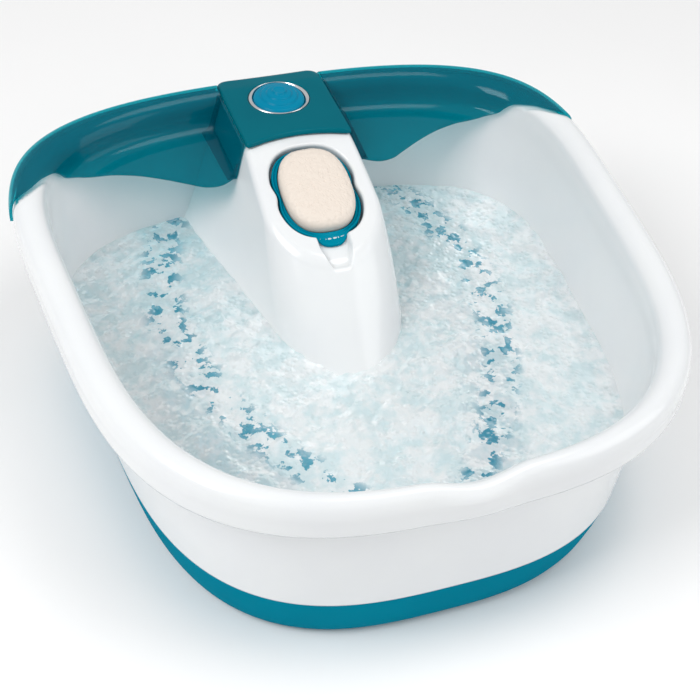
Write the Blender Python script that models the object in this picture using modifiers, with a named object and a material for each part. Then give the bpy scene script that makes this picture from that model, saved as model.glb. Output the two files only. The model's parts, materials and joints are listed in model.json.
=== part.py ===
"""Foot spa basin: tub, base tray, splash guard, control panel, air blower, heater and pumice insert.

Units are metres, +Z is up, -Y is the front where the feet go in, and the origin is on the floor
below the middle of the rim.  Run it in Blender 4.5 on an empty or default scene.
"""

import math

import bpy
from mathutils import Matrix, Vector

# ---------------------------------------------------------------- driving sizes
RIM_HALF_WIDTH = 0.1905      # rim half width on the cross line through the middle
RIM_HALF_LENGTH = 0.1975     # rim half length, front to back
RIM_TAPER = 0.071            # extra half width per metre towards the back
FRONT_POWER = 3.27           # squareness of the front corners
REAR_POWER = 4.61            # squareness of the back corners
SIDE_POWER = 2.83            # squareness of the two sides
RING_POINTS = 76             # points round every tub ring
TRAY_POINTS = 56             # points round every tray ring

FOOT_RISE = 0.002            # feet stand out below the tray by this much
RIM_TOP = 0.1475             # top of the white rim
SKIRT_BOTTOM = 0.122         # bottom of the rolled rim
TRAY_TOP = 0.0394            # top edge of the coloured tray
FLOOR_TOP = 0.0400           # top of the tub floor
FLOOR_THICK = 0.0031         # tub floor thickness
WALL = 0.0030                # tub and column wall
TRAY_FLOOR = 0.0032          # tray floor thickness
GAP = 0.0003                 # clearance between pieces that touch

REBATE_START = 0.084         # behind this the rim steps down so that the guard lies flush
REBATE_RUN = 0.008           # length of that step
REBATE_DROP = 0.0030         # how far the crown sinks
REBATE_PULL = 0.0023         # how far the skirt moves in

SPOUT_HALF_WIDTH = 0.030     # pouring lip in the middle of the front rim
SPOUT_PUSH = 0.004           # how far the lip swells forwards
SPOUT_DIP = 0.0035           # how far the lip dips

COLUMN_NOSE_WATER = -0.022   # front of the column at the water line
COLUMN_NOSE_TOP = 0.0315     # front of the column at its low top edge
WATER_LEVEL = 0.067          # height at which the column was sized
NOSE_TOP_HEIGHT = 0.1175     # height of the low front edge of the sloping top
PLATEAU_HEIGHT = 0.1443      # flat top under the control panel
PLATEAU_START = 0.1205       # where the sloping top meets the flat top
COLUMN_TOP_HALF = 0.0365     # half width at the top
COLUMN_WATER_HALF = 0.0378   # half width at the water line on the cross line y = 0
COLUMN_SPREAD = 0.211        # extra half width per metre towards the back at the water line
COLUMN_FLARE = 0.011         # fillet where the column meets the floor

PANEL_HALF_WIDTH = 0.0369
PANEL_THICK = 0.0034
PANEL_LIFT = 0.0009          # gap between the panel and the column's flat top
PANEL_REAR = 0.1985
PANEL_CORNER = 0.0080        # rounding of the panel's back corners in plan
PANEL_ARCH = 0.0065          # how far the front edge bends back in the middle
LIP_BOTTOM = 0.1396          # bottom of the panel's back lip
LIP_THICK = 0.0021
BUTTON_Y = 0.1670
BUTTON_RADIUS = 0.0178
BUTTON_RISE = 0.0062         # crown of the button above the panel
BUTTON_SKIRT = 0.0045        # how far its side reaches down into the cup
WELL_RADIUS = 0.0197         # outside of the cup below the panel
WELL_BOTTOM = 0.1328
CUP_WALL = 0.0013
BEZEL_HALF_LENGTH = 0.0190   # silver ring, front to back
BEZEL_STRETCH = 1.11         # its width over its length
BEZEL_SEAT = 0.0012          # depth of its seat in the panel
STEM_LIFT = 0.0052           # bottom of the button's stem above the cup's underside
SWITCH_HEIGHT = 0.0167       # switch body under the cup

GUARD_THICK = 0.0020
COLUMN_CLEAR = 0.0008        # gap between the guard and the faceted column
GUARD_STRAP = 0.1390         # the guard is open above this behind the column
COLLAR_BOTTOM = 0.1215       # the guard's collar climbs the column's sides from here
COLLAR_RISE = 0.0025         # and ends this far above the column's flat top
POCKET_Y = 0.0822            # middle of the pumice pocket on the sloping top
POCKET_HALF_WIDTH = 0.0292
POCKET_HALF_LENGTH = 0.0366
POCKET_DEPTH = 0.0130
POCKET_POWER = 2.6
PUMICE_HALF_WIDTH = POCKET_HALF_WIDTH - 0.0056
PUMICE_HALF_LENGTH = POCKET_HALF_LENGTH - 0.0048
PUMICE_TOP = 0.0078          # crown of the stone above the sloping top
HOLDER_TOP = -0.0022         # holder face below the sloping top
HOLDER_SEAT = -0.0090        # where the stone rests
POCKET_WAIST = 0.0022        # how far each long side bends in at the middle
WAIST_LENGTH = 0.0070        # spread of that bend along the pocket
NOTCH_HALF_WIDTH = 0.0100    # finger notch where it leaves the pocket
NOTCH_TIP_HALF = 0.0050      # and where it runs out of the column's front
NOTCH_BEND = -0.0430
NOTCH_TIP = -0.0620
NOTCH_DEPTH = 0.0055

FAN_X, FAN_Y = 0.0, 0.058    # blower axis
HOUSING_RADIUS = 0.0340
HOUSING_TOP = 0.0270
IMPELLER_RADIUS = HOUSING_RADIUS - 0.0055
SHAFT_RADIUS = 0.0015
PIPE_RADIUS = 0.0050
PIPE_BORE = 0.0038
BOSS_SPOTS = [(0.072, -0.140), (0.130, 0.000), (0.085, 0.135)]
FOOT_SPOTS = [(0.108, -0.108), (0.118, 0.106)]

TRAY_BOTTOM = FOOT_RISE
TRAY_INSIDE = TRAY_BOTTOM + TRAY_FLOOR
FLOOR_BOTTOM = FLOOR_TOP - FLOOR_THICK

# Tub rings from the middle of the floor outwards: inset at the sides, front and back, then height.
INNER_WALL = [
    (0.0450, 0.0360, 0.0560, FLOOR_TOP),
    (0.0345, 0.0250, 0.0470, FLOOR_TOP + 0.0022),
    (0.0295, 0.0208, 0.0422, FLOOR_TOP + 0.0100),
    (0.0265, 0.0180, 0.0375, WATER_LEVEL),
    (0.0235, 0.0158, 0.0280, 0.0950),
    (0.0212, 0.0145, 0.0205, SKIRT_BOTTOM - 0.002),
    (0.0208, 0.0150, 0.0165, RIM_TOP - 0.0120),
    (0.0186, 0.0130, 0.0146, RIM_TOP - 0.0046),
    (0.0145, 0.0100, 0.0120, RIM_TOP - 0.0012),
    (0.0100, 0.0075, 0.0085, RIM_TOP),
    (0.0055, 0.0048, 0.0050, RIM_TOP - 0.0006),
    (0.0018, 0.0018, 0.0018, RIM_TOP - 0.0036),
    (0.0000, 0.0000, 0.0000, RIM_TOP - 0.0092),
    (0.0000, 0.0000, 0.0000, SKIRT_BOTTOM + 0.0015),
    (0.0008, 0.0008, 0.0008, SKIRT_BOTTOM),
]
OUTER_WALL = [
    (0.0022, 0.0022, 0.0022, SKIRT_BOTTOM),
    (0.0029, 0.0029, 0.0029, SKIRT_BOTTOM + 0.0015),
    (0.0029, 0.0029, 0.0029, RIM_TOP - 0.0098),
    (0.0044, 0.0042, 0.0042, RIM_TOP - 0.0056),
    (0.0078, 0.0060, 0.0066, RIM_TOP - 0.0034),
    (0.0122, 0.0084, 0.0094, RIM_TOP - 0.0040),
    (0.0160, 0.0108, 0.0120, RIM_TOP - 0.0068),
    (0.0177, 0.0118, 0.0134, RIM_TOP - 0.0130),
    (0.0178, 0.0114, 0.0174, SKIRT_BOTTOM - 0.002),
    (0.0204, 0.0128, 0.0248, 0.0950),
    (0.0234, 0.0149, 0.0342, WATER_LEVEL),
    (0.0262, 0.0158, 0.0378, TRAY_TOP + 0.0025),
    (0.0265, 0.0160, 0.0380, TRAY_TOP + GAP),
    (0.0302, 0.0197, 0.0417, TRAY_TOP + GAP),
    (0.0308, 0.0203, 0.0423, FLOOR_BOTTOM),
]
# How far each tub ring follows the pouring lip, the rebate's drop and the rebate's pull.
RIM_SHAPE = [(0.0, 0.0, 0.0)] * 6 + [
    (0.6, 0.4, 0.0), (1.0, 1.0, 0.0), (1.0, 1.0, 0.0), (1.0, 1.0, 0.3), (1.0, 1.0, 0.7), (0.8, 1.0, 1.0),
    (0.5, 0.8, 1.0), (0.0, 0.0, 1.0), (0.0, 0.0, 1.0), (0.0, 0.0, 1.0), (0.0, 0.0, 1.0), (0.5, 0.8, 1.0),
    (0.8, 1.0, 1.0), (1.0, 1.0, 0.7), (1.0, 1.0, 0.3), (1.0, 1.0, 0.0), (0.6, 0.4, 0.0),
] + [(0.0, 0.0, 0.0)] * 7
# Tray rings from the middle of the underside outwards and back in.
TRAY_OUTER = [
    (0.0400, 0.0285, 0.0485, TRAY_BOTTOM),
    (0.0372, 0.0257, 0.0457, TRAY_BOTTOM + 0.0010),
    (0.0350, 0.0236, 0.0440, TRAY_BOTTOM + 0.0050),
    (0.0305, 0.0196, 0.0408, TRAY_BOTTOM + 0.0200),
    (0.0265, 0.0160, 0.0380, TRAY_TOP),
]
TRAY_INNER = [
    (0.0291, 0.0186, 0.0406, TRAY_TOP),
    (0.0330, 0.0222, 0.0434, TRAY_BOTTOM + 0.0200),
    (0.0376, 0.0262, 0.0466, TRAY_BOTTOM + 0.0070),
    (0.0410, 0.0296, 0.0496, TRAY_INSIDE),
]
# Splash guard section: outside face from the skirt over the rim to the shelf, then back underneath.
GUARD_TOP = [
    (0.0000, 0.0000, 0.0000, 0.1290),
    (0.0000, 0.0000, 0.0000, 0.1363),
    (0.0019, 0.0019, 0.0019, 0.1431),
    (0.0058, 0.0056, 0.0056, 0.1465),
    (0.0107, 0.0082, 0.0089, 0.1471),
    (0.0158, 0.0110, 0.0128, 0.1457),
    (0.0208, 0.0150, 0.0166, 0.1415),
    (0.0234, 0.0176, 0.0190, 0.1355),
    (0.0250, 0.0190, 0.0215, 0.1300),
    (0.0285, 0.0225, 0.0250, 0.1262),
    (0.0420, 0.0360, 0.0360, 0.1250),
    (0.0620, 0.0560, 0.0560, 0.1238),
    (0.0900, 0.0900, 0.0960, 0.1222),
]
GUARD_UNDER = [
    (0.0900, 0.0900, 0.0960, 0.1202),
    (0.0620, 0.0560, 0.0560, 0.1218),
    (0.0420, 0.0360, 0.0360, 0.1230),
    (0.0276, 0.0216, 0.0243, 0.1242),
    (0.0232, 0.0172, 0.0198, 0.1292),
    (0.0215, 0.0157, 0.0172, 0.1350),
    (0.0193, 0.0136, 0.0151, 0.1402),
    (0.0147, 0.0103, 0.0123, 0.1437),
    (0.0107, 0.0082, 0.0089, 0.1449),
    (0.0068, 0.0062, 0.0063, 0.1444),
    (0.0037, 0.0037, 0.0037, 0.1414),
    (0.0019, 0.0019, 0.0019, 0.1362),
    (0.0019, 0.0019, 0.0019, 0.1290),
]
# Front edge of the guard in plan, from the middle out to the side; past the column's collar it
# widens with the rim.
GUARD_SPREAD = RIM_HALF_WIDTH / 0.1905
GUARD_EDGE = [(0.000, 0.126), (0.0395, 0.1235), (0.046, 0.1185)] + [(x * GUARD_SPREAD, y) for x, y in [
    (0.057, 0.1135), (0.066, 0.1145), (0.076, 0.120), (0.090, 0.128), (0.108, 0.136), (0.127, 0.140),
    (0.146, 0.140), (0.158, 0.134), (0.170, 0.122), (0.184, 0.106), (0.230, 0.098)]]
# Middle line of a bubble strip in plan, back to front.
STRIP_LINE = [
    (0.097, 0.112), (0.106, 0.078), (0.107, 0.040), (0.102, 0.000), (0.092, -0.038),
    (0.074, -0.078), (0.050, -0.108),
]
STRIP_HALF_WIDTH = 0.0135
STRIP_HEIGHT = 0.0060
STRIP_WALL = 0.0018

# ---------------------------------------------------------------- scene and materials
for old in list(bpy.data.objects):
    bpy.data.objects.remove(old, do_unlink=True)

PARTS = bpy.data.collections.new("foot_spa_basin")
CUTTERS = bpy.data.collections.new("cutters")
bpy.context.scene.collection.children.link(PARTS)
bpy.context.scene.collection.children.link(CUTTERS)

FINISHES = {
    "white_plastic": ((0.83, 0.85, 0.86), 0.0, 0.22),
    "teal_plastic": ((0.0, 0.21, 0.31), 0.0, 0.30),
    "teal_clear": ((0.0, 0.16, 0.22), 0.0, 0.12),
    "button_blue": ((0.0, 0.26, 0.40), 0.0, 0.30),
    "chrome": ((0.80, 0.82, 0.84), 1.0, 0.15),
    "pumice": ((0.76, 0.68, 0.60), 0.0, 0.95),
    "rubber": ((0.03, 0.03, 0.03), 0.0, 0.85),
    "steel": ((0.56, 0.57, 0.58), 1.0, 0.35),
    "aluminium": ((0.75, 0.76, 0.77), 1.0, 0.40),
    "copper": ((0.72, 0.32, 0.14), 1.0, 0.35),
    "black_plastic": ((0.02, 0.02, 0.02), 0.0, 0.45),
    "board_green": ((0.02, 0.18, 0.07), 0.0, 0.50),
    "clear_tube": ((0.62, 0.66, 0.64), 0.0, 0.30),
}


def dress(obj, finish):
    """Give one object its own Principled material with the named finish."""
    colour, metallic, roughness = FINISHES[finish]
    mat = bpy.data.materials.new(f"{obj.name}_{finish}")
    mat.use_nodes = True
    shader = mat.node_tree.nodes["Principled BSDF"]
    shader.inputs["Base Color"].default_value = (*colour, 1.0)
    shader.inputs["Metallic"].default_value = metallic
    shader.inputs["Roughness"].default_value = roughness
    obj.data.materials.clear()
    obj.data.materials.append(mat)


def file_under(obj, finish=None):
    """Put an object with the parts when it has a finish, and with the hidden cutters otherwise."""
    for home in list(obj.users_collection):
        home.objects.unlink(obj)
    if finish:
        PARTS.objects.link(obj)
        dress(obj, finish)
    else:
        CUTTERS.objects.link(obj)
        obj.hide_render = True
        obj.display_type = "WIRE"
    return obj


def from_data(name, points, faces, finish=None):
    """Make an object from points and faces."""
    mesh = bpy.data.meshes.new(name)
    mesh.from_pydata([tuple(p) for p in points], [], faces)
    mesh.validate()
    return file_under(bpy.data.objects.new(name, mesh), finish)


def cylinder(name, radius, low, high, at, finish=None, steps=32, stretch=1.0):
    """Upright cylinder between two heights, wider in x when it is stretched."""
    bpy.ops.mesh.primitive_cylinder_add(
        vertices=steps, radius=radius, depth=high - low, location=(at[0], at[1], (low + high) / 2))
    obj = bpy.context.object
    obj.name = name
    obj.data.transform(Matrix.Diagonal((stretch, 1.0, 1.0, 1.0)))
    return file_under(obj, finish)


def box(name, low, high, finish=None, bevel=0.0):
    """Box between two corners, with its edges rounded when a bevel is given."""
    middle = [(a + b) / 2 for a, b in zip(low, high)]
    bpy.ops.mesh.primitive_cube_add(size=1.0, location=middle)
    obj = bpy.context.object
    obj.name = name
    obj.data.transform(Matrix.Diagonal([b - a for a, b in zip(low, high)] + [1.0]))
    if bevel:
        mod = obj.modifiers.new("rounding", "BEVEL")
        mod.width = bevel
        mod.segments = 2
    return file_under(obj, finish)


def combine(target, tool, operation):
    """Add an exact Boolean to the target."""
    mod = target.modifiers.new(f"{operation.lower()}_{tool.name}", "BOOLEAN")
    mod.operation = operation
    mod.solver = "EXACT"
    mod.object = tool


def add(target, *tools):
    for tool in tools:
        combine(target, tool, "UNION")


def cut(target, *tools):
    for tool in tools:
        combine(target, tool, "DIFFERENCE")


# ---------------------------------------------------------------- ring shapes
def signed_power(value, power):
    return math.copysign(abs(value) ** power, value)


def rim_point(angle, side, front, rear):
    """Plan point of the rim line at one angle, pulled in by the three insets."""
    c, s = math.cos(angle), math.sin(angle)
    power = REAR_POWER if s > 0 else FRONT_POWER
    half = RIM_HALF_LENGTH - (rear if s > 0 else front)
    y = half * signed_power(s, 2 / power)
    x = (RIM_HALF_WIDTH - side + RIM_TAPER * y) * signed_power(c, 2 / SIDE_POWER)
    return x, y


def ring(side, front, rear, height, count, shape=(0.0, 0.0, 0.0)):
    """Closed ring of evenly spaced points from the front, mirrored across x = 0, lipped and rebated."""
    spout, drop, pull = shape
    fine = 720
    line = [rim_point(-math.pi / 2 + math.pi * i / fine, side, front, rear) for i in range(fine + 1)]
    run = [0.0]
    for a, b in zip(line, line[1:]):
        run.append(run[-1] + math.dist(a, b))
    half, at, place = [], 0, run[-1] / (count // 2)
    for k in range(count // 2 + 1):
        want = min(place * k, run[-1])
        while at < fine - 1 and run[at + 1] < want:
            at += 1
        part = (want - run[at]) / (run[at + 1] - run[at])
        half.append([line[at][j] + part * (line[at + 1][j] - line[at][j]) for j in (0, 1)])
    half[0][0] = half[-1][0] = 0.0
    points = []
    for x, y in half + [(-x, y) for x, y in reversed(half[1:-1])]:
        lip = 0.0
        if spout and y < 0 and abs(x) < SPOUT_HALF_WIDTH:
            lip = spout * (0.5 + 0.5 * math.cos(math.pi * x / SPOUT_HALF_WIDTH))
        back = max(0.0, min(1.0, (y - REBATE_START) / REBATE_RUN))
        keep = 1.0 - REBATE_PULL * pull * back / math.hypot(x, y)
        points.append((x * keep, (y - SPOUT_PUSH * lip) * keep,
                       height - SPOUT_DIP * lip - REBATE_DROP * drop * back))
    return points


def ring_faces(rings, count, offset=0):
    """Quads joining each ring to the next one."""
    faces = []
    for r in range(rings - 1):
        for k in range(count):
            a, b = offset + r * count + k, offset + r * count + (k + 1) % count
            faces.append((a, b, b + count, a + count))
    return faces


def ring_body(name, table, count, finish=None, shapes=None, flip=False):
    """Solid of stacked rings, closed by a flat cap over the first ring and the last ring."""
    shapes = shapes or [(0.0, 0.0, 0.0)] * len(table)
    points = [p for row, shape in zip(table, shapes) for p in ring(*row, count, shape)]
    faces = ring_faces(len(table), count)
    last = (len(table) - 1) * count
    faces.append(tuple(reversed(range(count))))
    faces.append(tuple(range(last, last + count)))
    if flip:
        faces = [tuple(reversed(f)) for f in faces]
    return from_data(name, points, faces, finish)


def ring_loop(name, table, count, finish=None):
    """Solid of rings whose last ring joins the first, like a bent hoop."""
    points = [p for row in table for p in ring(*row, count)]
    faces = ring_faces(len(table), count)
    last = (len(table) - 1) * count
    for k in range(count):
        n = (k + 1) % count
        faces.append((last + k, last + n, n, k))
    return from_data(name, points, faces, finish)


# ---------------------------------------------------------------- column
RISING_INNER = INNER_WALL[:10]      # floor to the crown of the rim
RISING_OUTER = OUTER_WALL[5:]       # from under the crown down to the tray


def rear_wall(height, table):
    """Distance of the tub's back wall from the middle at one height."""
    rows = sorted(((row[3], RIM_HALF_LENGTH - row[2]) for row in table), key=lambda row: row[0])
    if height <= rows[0][0]:
        return rows[0][1]
    for (z0, y0), (z1, y1) in zip(rows, rows[1:]):
        if z1 >= height > z0:
            return y0 + (y1 - y0) * (height - z0) / (z1 - z0)
    return rows[-1][1]


def roof(y, drop=0.0):
    """Height of the column's top: a slope up to the control panel, then flat."""
    slope = (PLATEAU_HEIGHT - NOSE_TOP_HEIGHT) / (PLATEAU_START - COLUMN_NOSE_TOP)
    return min(NOSE_TOP_HEIGHT + slope * (y - COLUMN_NOSE_TOP), PLATEAU_HEIGHT) - drop


NOSE_STEPS = [0.0, 0.02, 0.08, 0.18, 0.32, 0.50, 0.72, 1.0]
BODY_STEPS = [0.25, 0.5, 0.75, 1.0]


def column_line(height, shrink, rear):
    """Right half of the column outline at one height, nose first."""
    low = max(0.0, (WATER_LEVEL - height) / (WATER_LEVEL - FLOOR_TOP))
    rise = (height - WATER_LEVEL) / (NOSE_TOP_HEIGHT - WATER_LEVEL)
    nose = COLUMN_NOSE_WATER + (COLUMN_NOSE_TOP - COLUMN_NOSE_WATER) * max(rise, -0.3)
    nose += -COLUMN_FLARE * min(low, 1.0) ** 2 + 1.35 * shrink
    lean = max(0.0, min(1.0, (height - WATER_LEVEL) / (PLATEAU_HEIGHT - WATER_LEVEL))) ** 0.8
    reach = 0.046 - 0.018 * lean
    line = []
    ys = [nose + reach * s for s in NOSE_STEPS]
    ys += [ys[-1] + (rear - ys[-1]) * s for s in BODY_STEPS]
    for y in ys:
        foot = COLUMN_WATER_HALF + COLUMN_SPREAD * y + COLUMN_FLARE * min(low, 1.0) ** 2
        half = foot + (COLUMN_TOP_HALF - foot) * lean - shrink
        near = max(0.0, 1.0 - (y - nose) / reach)
        line.append((half * (1.0 - near ** 2.1) ** (1 / 2.1) if near else half, y))
    return line


def column_body(name, low, shrink, drop, table, back, levels=9, edge=0.0):
    """Solid column from a low height up to the sloping roof."""
    rows = []
    for k in range(levels):
        share = k / (levels - 1)
        rows.append((share, 0.0, 0.0))
    if edge:
        rows = [(share, 0.0, edge) for share, _, _ in rows]
        rows += [(1.0, 0.3 * edge, 0.3 * edge), (1.0, edge, 0.0)]
    count = len(NOSE_STEPS) + len(BODY_STEPS)
    points = []
    for share, inset, down in rows:
        half = []
        for i in range(count):
            top = PLATEAU_HEIGHT
            for _ in range(12):
                top = roof(column_line(top, shrink, rear_wall(top, table) + back)[i][1], drop + down)
            height = low + (top - low) * share
            x, y = column_line(height, shrink + inset, rear_wall(height, table) + back)[i]
            half.append((x if i else 0.0, y, height))
        points += half + [(-x, y, z) for x, y, z in reversed(half[1:])]
    around = 2 * count - 1
    faces = ring_faces(len(rows), around)
    last = (len(rows) - 1) * around
    for base, flip in ((0, True), (last, False)):
        for i in range(count - 1):
            a, b = i, i + 1
            c, d = (around - b) % around, (around - a) % around
            face = [base + v for v in dict.fromkeys((a, b, c, d))]
            faces.append(tuple(reversed(face)) if flip else tuple(face))
    return from_data(name, points, faces)


# ---------------------------------------------------------------- pocket frame
SLOPE = math.atan2(PLATEAU_HEIGHT - NOSE_TOP_HEIGHT, PLATEAU_START - COLUMN_NOSE_TOP)
POCKET_FRAME = (Matrix.Translation((0.0, POCKET_Y, roof(POCKET_Y)))
                @ Matrix.Rotation(SLOPE, 4, "X"))


def oblong(half_width, half_length, count=48, waist=0.0):
    """Rounded oblong in plan whose long sides may bend in at the middle."""
    points = []
    for k in range(count):
        a = 2 * math.pi * k / count
        y = half_length * signed_power(math.sin(a), 2 / POCKET_POWER)
        bend = waist * math.exp(-((y / WAIST_LENGTH) ** 2))
        points.append(((half_width - bend) * signed_power(math.cos(a), 2 / POCKET_POWER), y))
    return points


def notch_outline(grow=0.0):
    """Plan of the finger notch, widened by a margin; it starts inside the pocket."""
    wide, tip = NOTCH_HALF_WIDTH + grow, NOTCH_TIP_HALF + grow
    return [(-wide, -0.020), (-wide, NOTCH_BEND), (-tip, NOTCH_TIP), (tip, NOTCH_TIP), (wide, NOTCH_BEND),
            (wide, -0.020)]


def stack(name, layers, finish=None):
    """Solid in the pocket's frame from plan outlines at rising heights."""
    count = len(layers[0][0])
    points = [(x, y, z) for outline, z in layers for x, y in outline]
    faces = ring_faces(len(layers), count)
    last = (len(layers) - 1) * count
    faces += [tuple(reversed(range(count))), tuple(range(last, last + count))]
    obj = from_data(name, points, faces, finish)
    obj.matrix_world = POCKET_FRAME
    return obj


def pocket_box(name, low, high, finish=None):
    obj = box(name, low, high, finish)
    obj.matrix_world = POCKET_FRAME @ obj.matrix_basis
    return obj


# ---------------------------------------------------------------- pieces
def build_tub():
    """White tub: floor, walls, rolled rim, hollow column, pumice pocket and screw bosses."""
    table = INNER_WALL + OUTER_WALL
    tub = ring_body("tub", table, RING_POINTS, "white_plastic", RIM_SHAPE, flip=True)
    column = column_body("column_outside", FLOOR_BOTTOM + 0.001, 0.0, 0.0, RISING_INNER, WALL / 2, 6,
                         0.003)
    hollow = column_body("column_hollow", TRAY_TOP - 0.010, WALL, WALL, RISING_OUTER, -WALL, 5)
    wall = 0.0025
    block = stack("pocket_block", [
        (oblong(POCKET_HALF_WIDTH + wall, POCKET_HALF_LENGTH + wall), -POCKET_DEPTH - wall),
        (oblong(POCKET_HALF_WIDTH + wall, POCKET_HALF_LENGTH + wall), 0.010)])
    notch_block = stack("notch_block", [(notch_outline(wall), -NOTCH_DEPTH - wall),
                                        (notch_outline(wall), 0.0101)])
    cut(hollow, block, notch_block)
    pocket = stack("pocket_hollow", [
        (oblong(POCKET_HALF_WIDTH, POCKET_HALF_LENGTH, 48, POCKET_WAIST), -POCKET_DEPTH),
        (oblong(POCKET_HALF_WIDTH, POCKET_HALF_LENGTH, 48, POCKET_WAIST), 0.020)])
    notch = stack("notch", [(notch_outline(), -NOTCH_DEPTH), (notch_outline(), 0.021)])
    well = cylinder("well_hole", WELL_RADIUS + GAP, WELL_BOTTOM - 0.001, 0.160, (0.0, BUTTON_Y), steps=48)
    add(tub, column)
    cut(tub, hollow, pocket, notch, well)
    for k, (x, y) in enumerate(spots(BOSS_SPOTS)):
        add(tub, cylinder(f"boss_{k}", 0.0042, 0.0124, FLOOR_BOTTOM + 0.001, (x, y), steps=16))
        cut(tub, cylinder(f"pilot_{k}", 0.0019, 0.0100, 0.0300, (x, y), steps=12))
    for side in (-1, 1):
        x, y = STRIP_LINE[1][0] * side, STRIP_LINE[1][1]
        cut(tub, cylinder(f"air_hole_{side}", PIPE_RADIUS + GAP, 0.030, 0.045, (x, y), steps=20))
    return tub


def spots(one_side):
    """The given places and their mirror images."""
    return [(x * s, y) for x, y in one_side for s in (-1, 1)]


def build_tray():
    """Coloured tray under the tub, with screw towers, foot recesses, vents and a cord hole."""
    tray = ring_body("base_tray", TRAY_OUTER + TRAY_INNER, TRAY_POINTS, "teal_plastic")
    for k, (x, y) in enumerate(spots(BOSS_SPOTS)):
        add(tray, cylinder(f"tower_{k}", 0.0062, TRAY_BOTTOM + 0.001, 0.0120, (x, y), steps=16))
        cut(tray, cylinder(f"head_hole_{k}", 0.0041, 0.0, 0.0090, (x, y), steps=16))
        cut(tray, cylinder(f"shank_hole_{k}", 0.0021, 0.0, 0.0140, (x, y), steps=12))
    for k, (x, y) in enumerate(spots(FOOT_SPOTS)):
        cut(tray, cylinder(f"foot_recess_{k}", 0.0093, 0.0, TRAY_BOTTOM + 0.0012, (x, y), steps=24))
    for k in range(7):
        y = FAN_Y + (k - 3) * 0.0055
        reach = 0.017 - 0.0012 * abs(k - 3) ** 1.5
        cut(tray, box(f"vent_{k}", (FAN_X - reach, y - 0.0012, 0.0), (FAN_X + reach, y + 0.0012, 0.010)))
    rear = RIM_HALF_LENGTH - 0.041
    hole = cylinder("cord_hole", 0.0062, rear - 0.02, rear + 0.02, (0, 0), steps=28)
    hole.matrix_world = Matrix.Translation((0, rear, 0.0215)) @ Matrix.Rotation(math.pi / 2, 4, "X") \
        @ Matrix.Translation((0, 0, -rear)) @ hole.matrix_basis
    cut(tray, hole)
    return tray


def build_guard():
    """Clear splash guard: a hoop section kept only behind its shaped front edge."""
    guard = ring_loop("splash_guard", GUARD_TOP + GUARD_UNDER, RING_POINTS, "teal_clear")
    guard.data.flip_normals()
    line = [(-x, y) for x, y in reversed(GUARD_EDGE[1:])] + GUARD_EDGE
    wide, rear = RIM_HALF_WIDTH + 0.0395, RIM_HALF_LENGTH + 0.0325
    plan = line + [(wide, rear), (-wide, rear)]
    low, high = 0.100, 0.170
    count = len(plan)
    points = [(x, y, z) for z in (low, high) for x, y in plan]
    faces = ring_faces(2, count) + [tuple(reversed(range(count))), tuple(range(count, 2 * count))]
    keep = from_data("guard_keep", points, faces)
    add(guard, column_body("guard_collar", COLLAR_BOTTOM, -COLUMN_CLEAR - GUARD_THICK, -COLLAR_RISE,
                           RISING_INNER, -0.0010, 4))
    combine(guard, keep, "INTERSECT")
    clear = column_body("guard_column_gap", 0.090, -COLUMN_CLEAR, -0.002, RISING_INNER, GAP, 7)
    cut(guard, clear)
    half = PANEL_HALF_WIDTH + GAP
    cut(guard, box("panel_notch", (-half, 0.100, GUARD_STRAP), (half, rear, 0.170)))
    return guard


def build_panel():
    """Control panel over the column's flat top, with a cup for the power button."""
    low = PLATEAU_HEIGHT + PANEL_LIFT
    high = low + PANEL_THICK
    front = PLATEAU_START - 0.0005
    arch = [(-1.0, 0.0), (-0.92, -0.18), (-0.6, 0.46), (-0.3, 0.86), (0.0, 1.0), (0.3, 0.86),
            (0.6, 0.46), (0.92, -0.18), (1.0, 0.0)]
    plan = [(x * PANEL_HALF_WIDTH, front + dy * PANEL_ARCH) for x, dy in arch]
    turn = [math.pi / 2 * k / 4 for k in range(5)]
    corner = [(PANEL_HALF_WIDTH - PANEL_CORNER * (1 - math.cos(a)),
               PANEL_REAR - PANEL_CORNER * (1 - math.sin(a))) for a in turn]
    plan += corner + [(-x, y) for x, y in reversed(corner)]
    count = len(plan)
    levels = [(0.0, 0.0, low), (0.0, 0.0006, low + 0.0008), (0.0005, 0.0018, high - 0.0014),
              (0.0012, 0.0036, high - 0.0004), (0.0024, 0.0060, high)]
    points = []
    for side, rear, z in levels:
        for x, y in plan:
            back = (y - front) / (PANEL_REAR - front)
            points.append((x * (1 - side / PANEL_HALF_WIDTH), y + side * (1 - back) - rear * back, z))
    faces = ring_faces(len(levels), count)
    last = (len(levels) - 1) * count
    faces += [tuple(reversed(range(count))), tuple(range(last, last + count))]
    panel = from_data("control_panel", points, faces, "teal_plastic")
    half = PANEL_HALF_WIDTH - PANEL_CORNER
    lip = box("panel_lip", (-half, PANEL_REAR - 0.0001 - LIP_THICK, LIP_BOTTOM),
              (half, PANEL_REAR - 0.0001, low + 0.0005))
    at = (0, BUTTON_Y)
    cup = cylinder("panel_cup", WELL_RADIUS, WELL_BOTTOM, high - 0.0010, at, steps=48)
    add(panel, lip, cup)
    cut(panel, cylinder("cup_hollow", WELL_RADIUS - CUP_WALL, WELL_BOTTOM + CUP_WALL, high + 0.01, at,
                        steps=48))
    cut(panel, cylinder("bezel_seat", BEZEL_HALF_LENGTH + GAP, high - BEZEL_SEAT, high + 0.01, at,
                        steps=48, stretch=BEZEL_STRETCH))
    cut(panel, cylinder("plunger_hole", 0.0034, WELL_BOTTOM - 0.01, WELL_BOTTOM + 0.01, at, steps=20))
    bezel = cylinder("button_bezel", BEZEL_HALF_LENGTH, high - BEZEL_SEAT + GAP, high + 0.0004, at,
                     "chrome", 48, BEZEL_STRETCH)
    cut(bezel, cylinder("bezel_bore", BUTTON_RADIUS + GAP + 0.0001, high - 0.01, high + 0.01, at,
                        steps=48))
    return high


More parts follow.
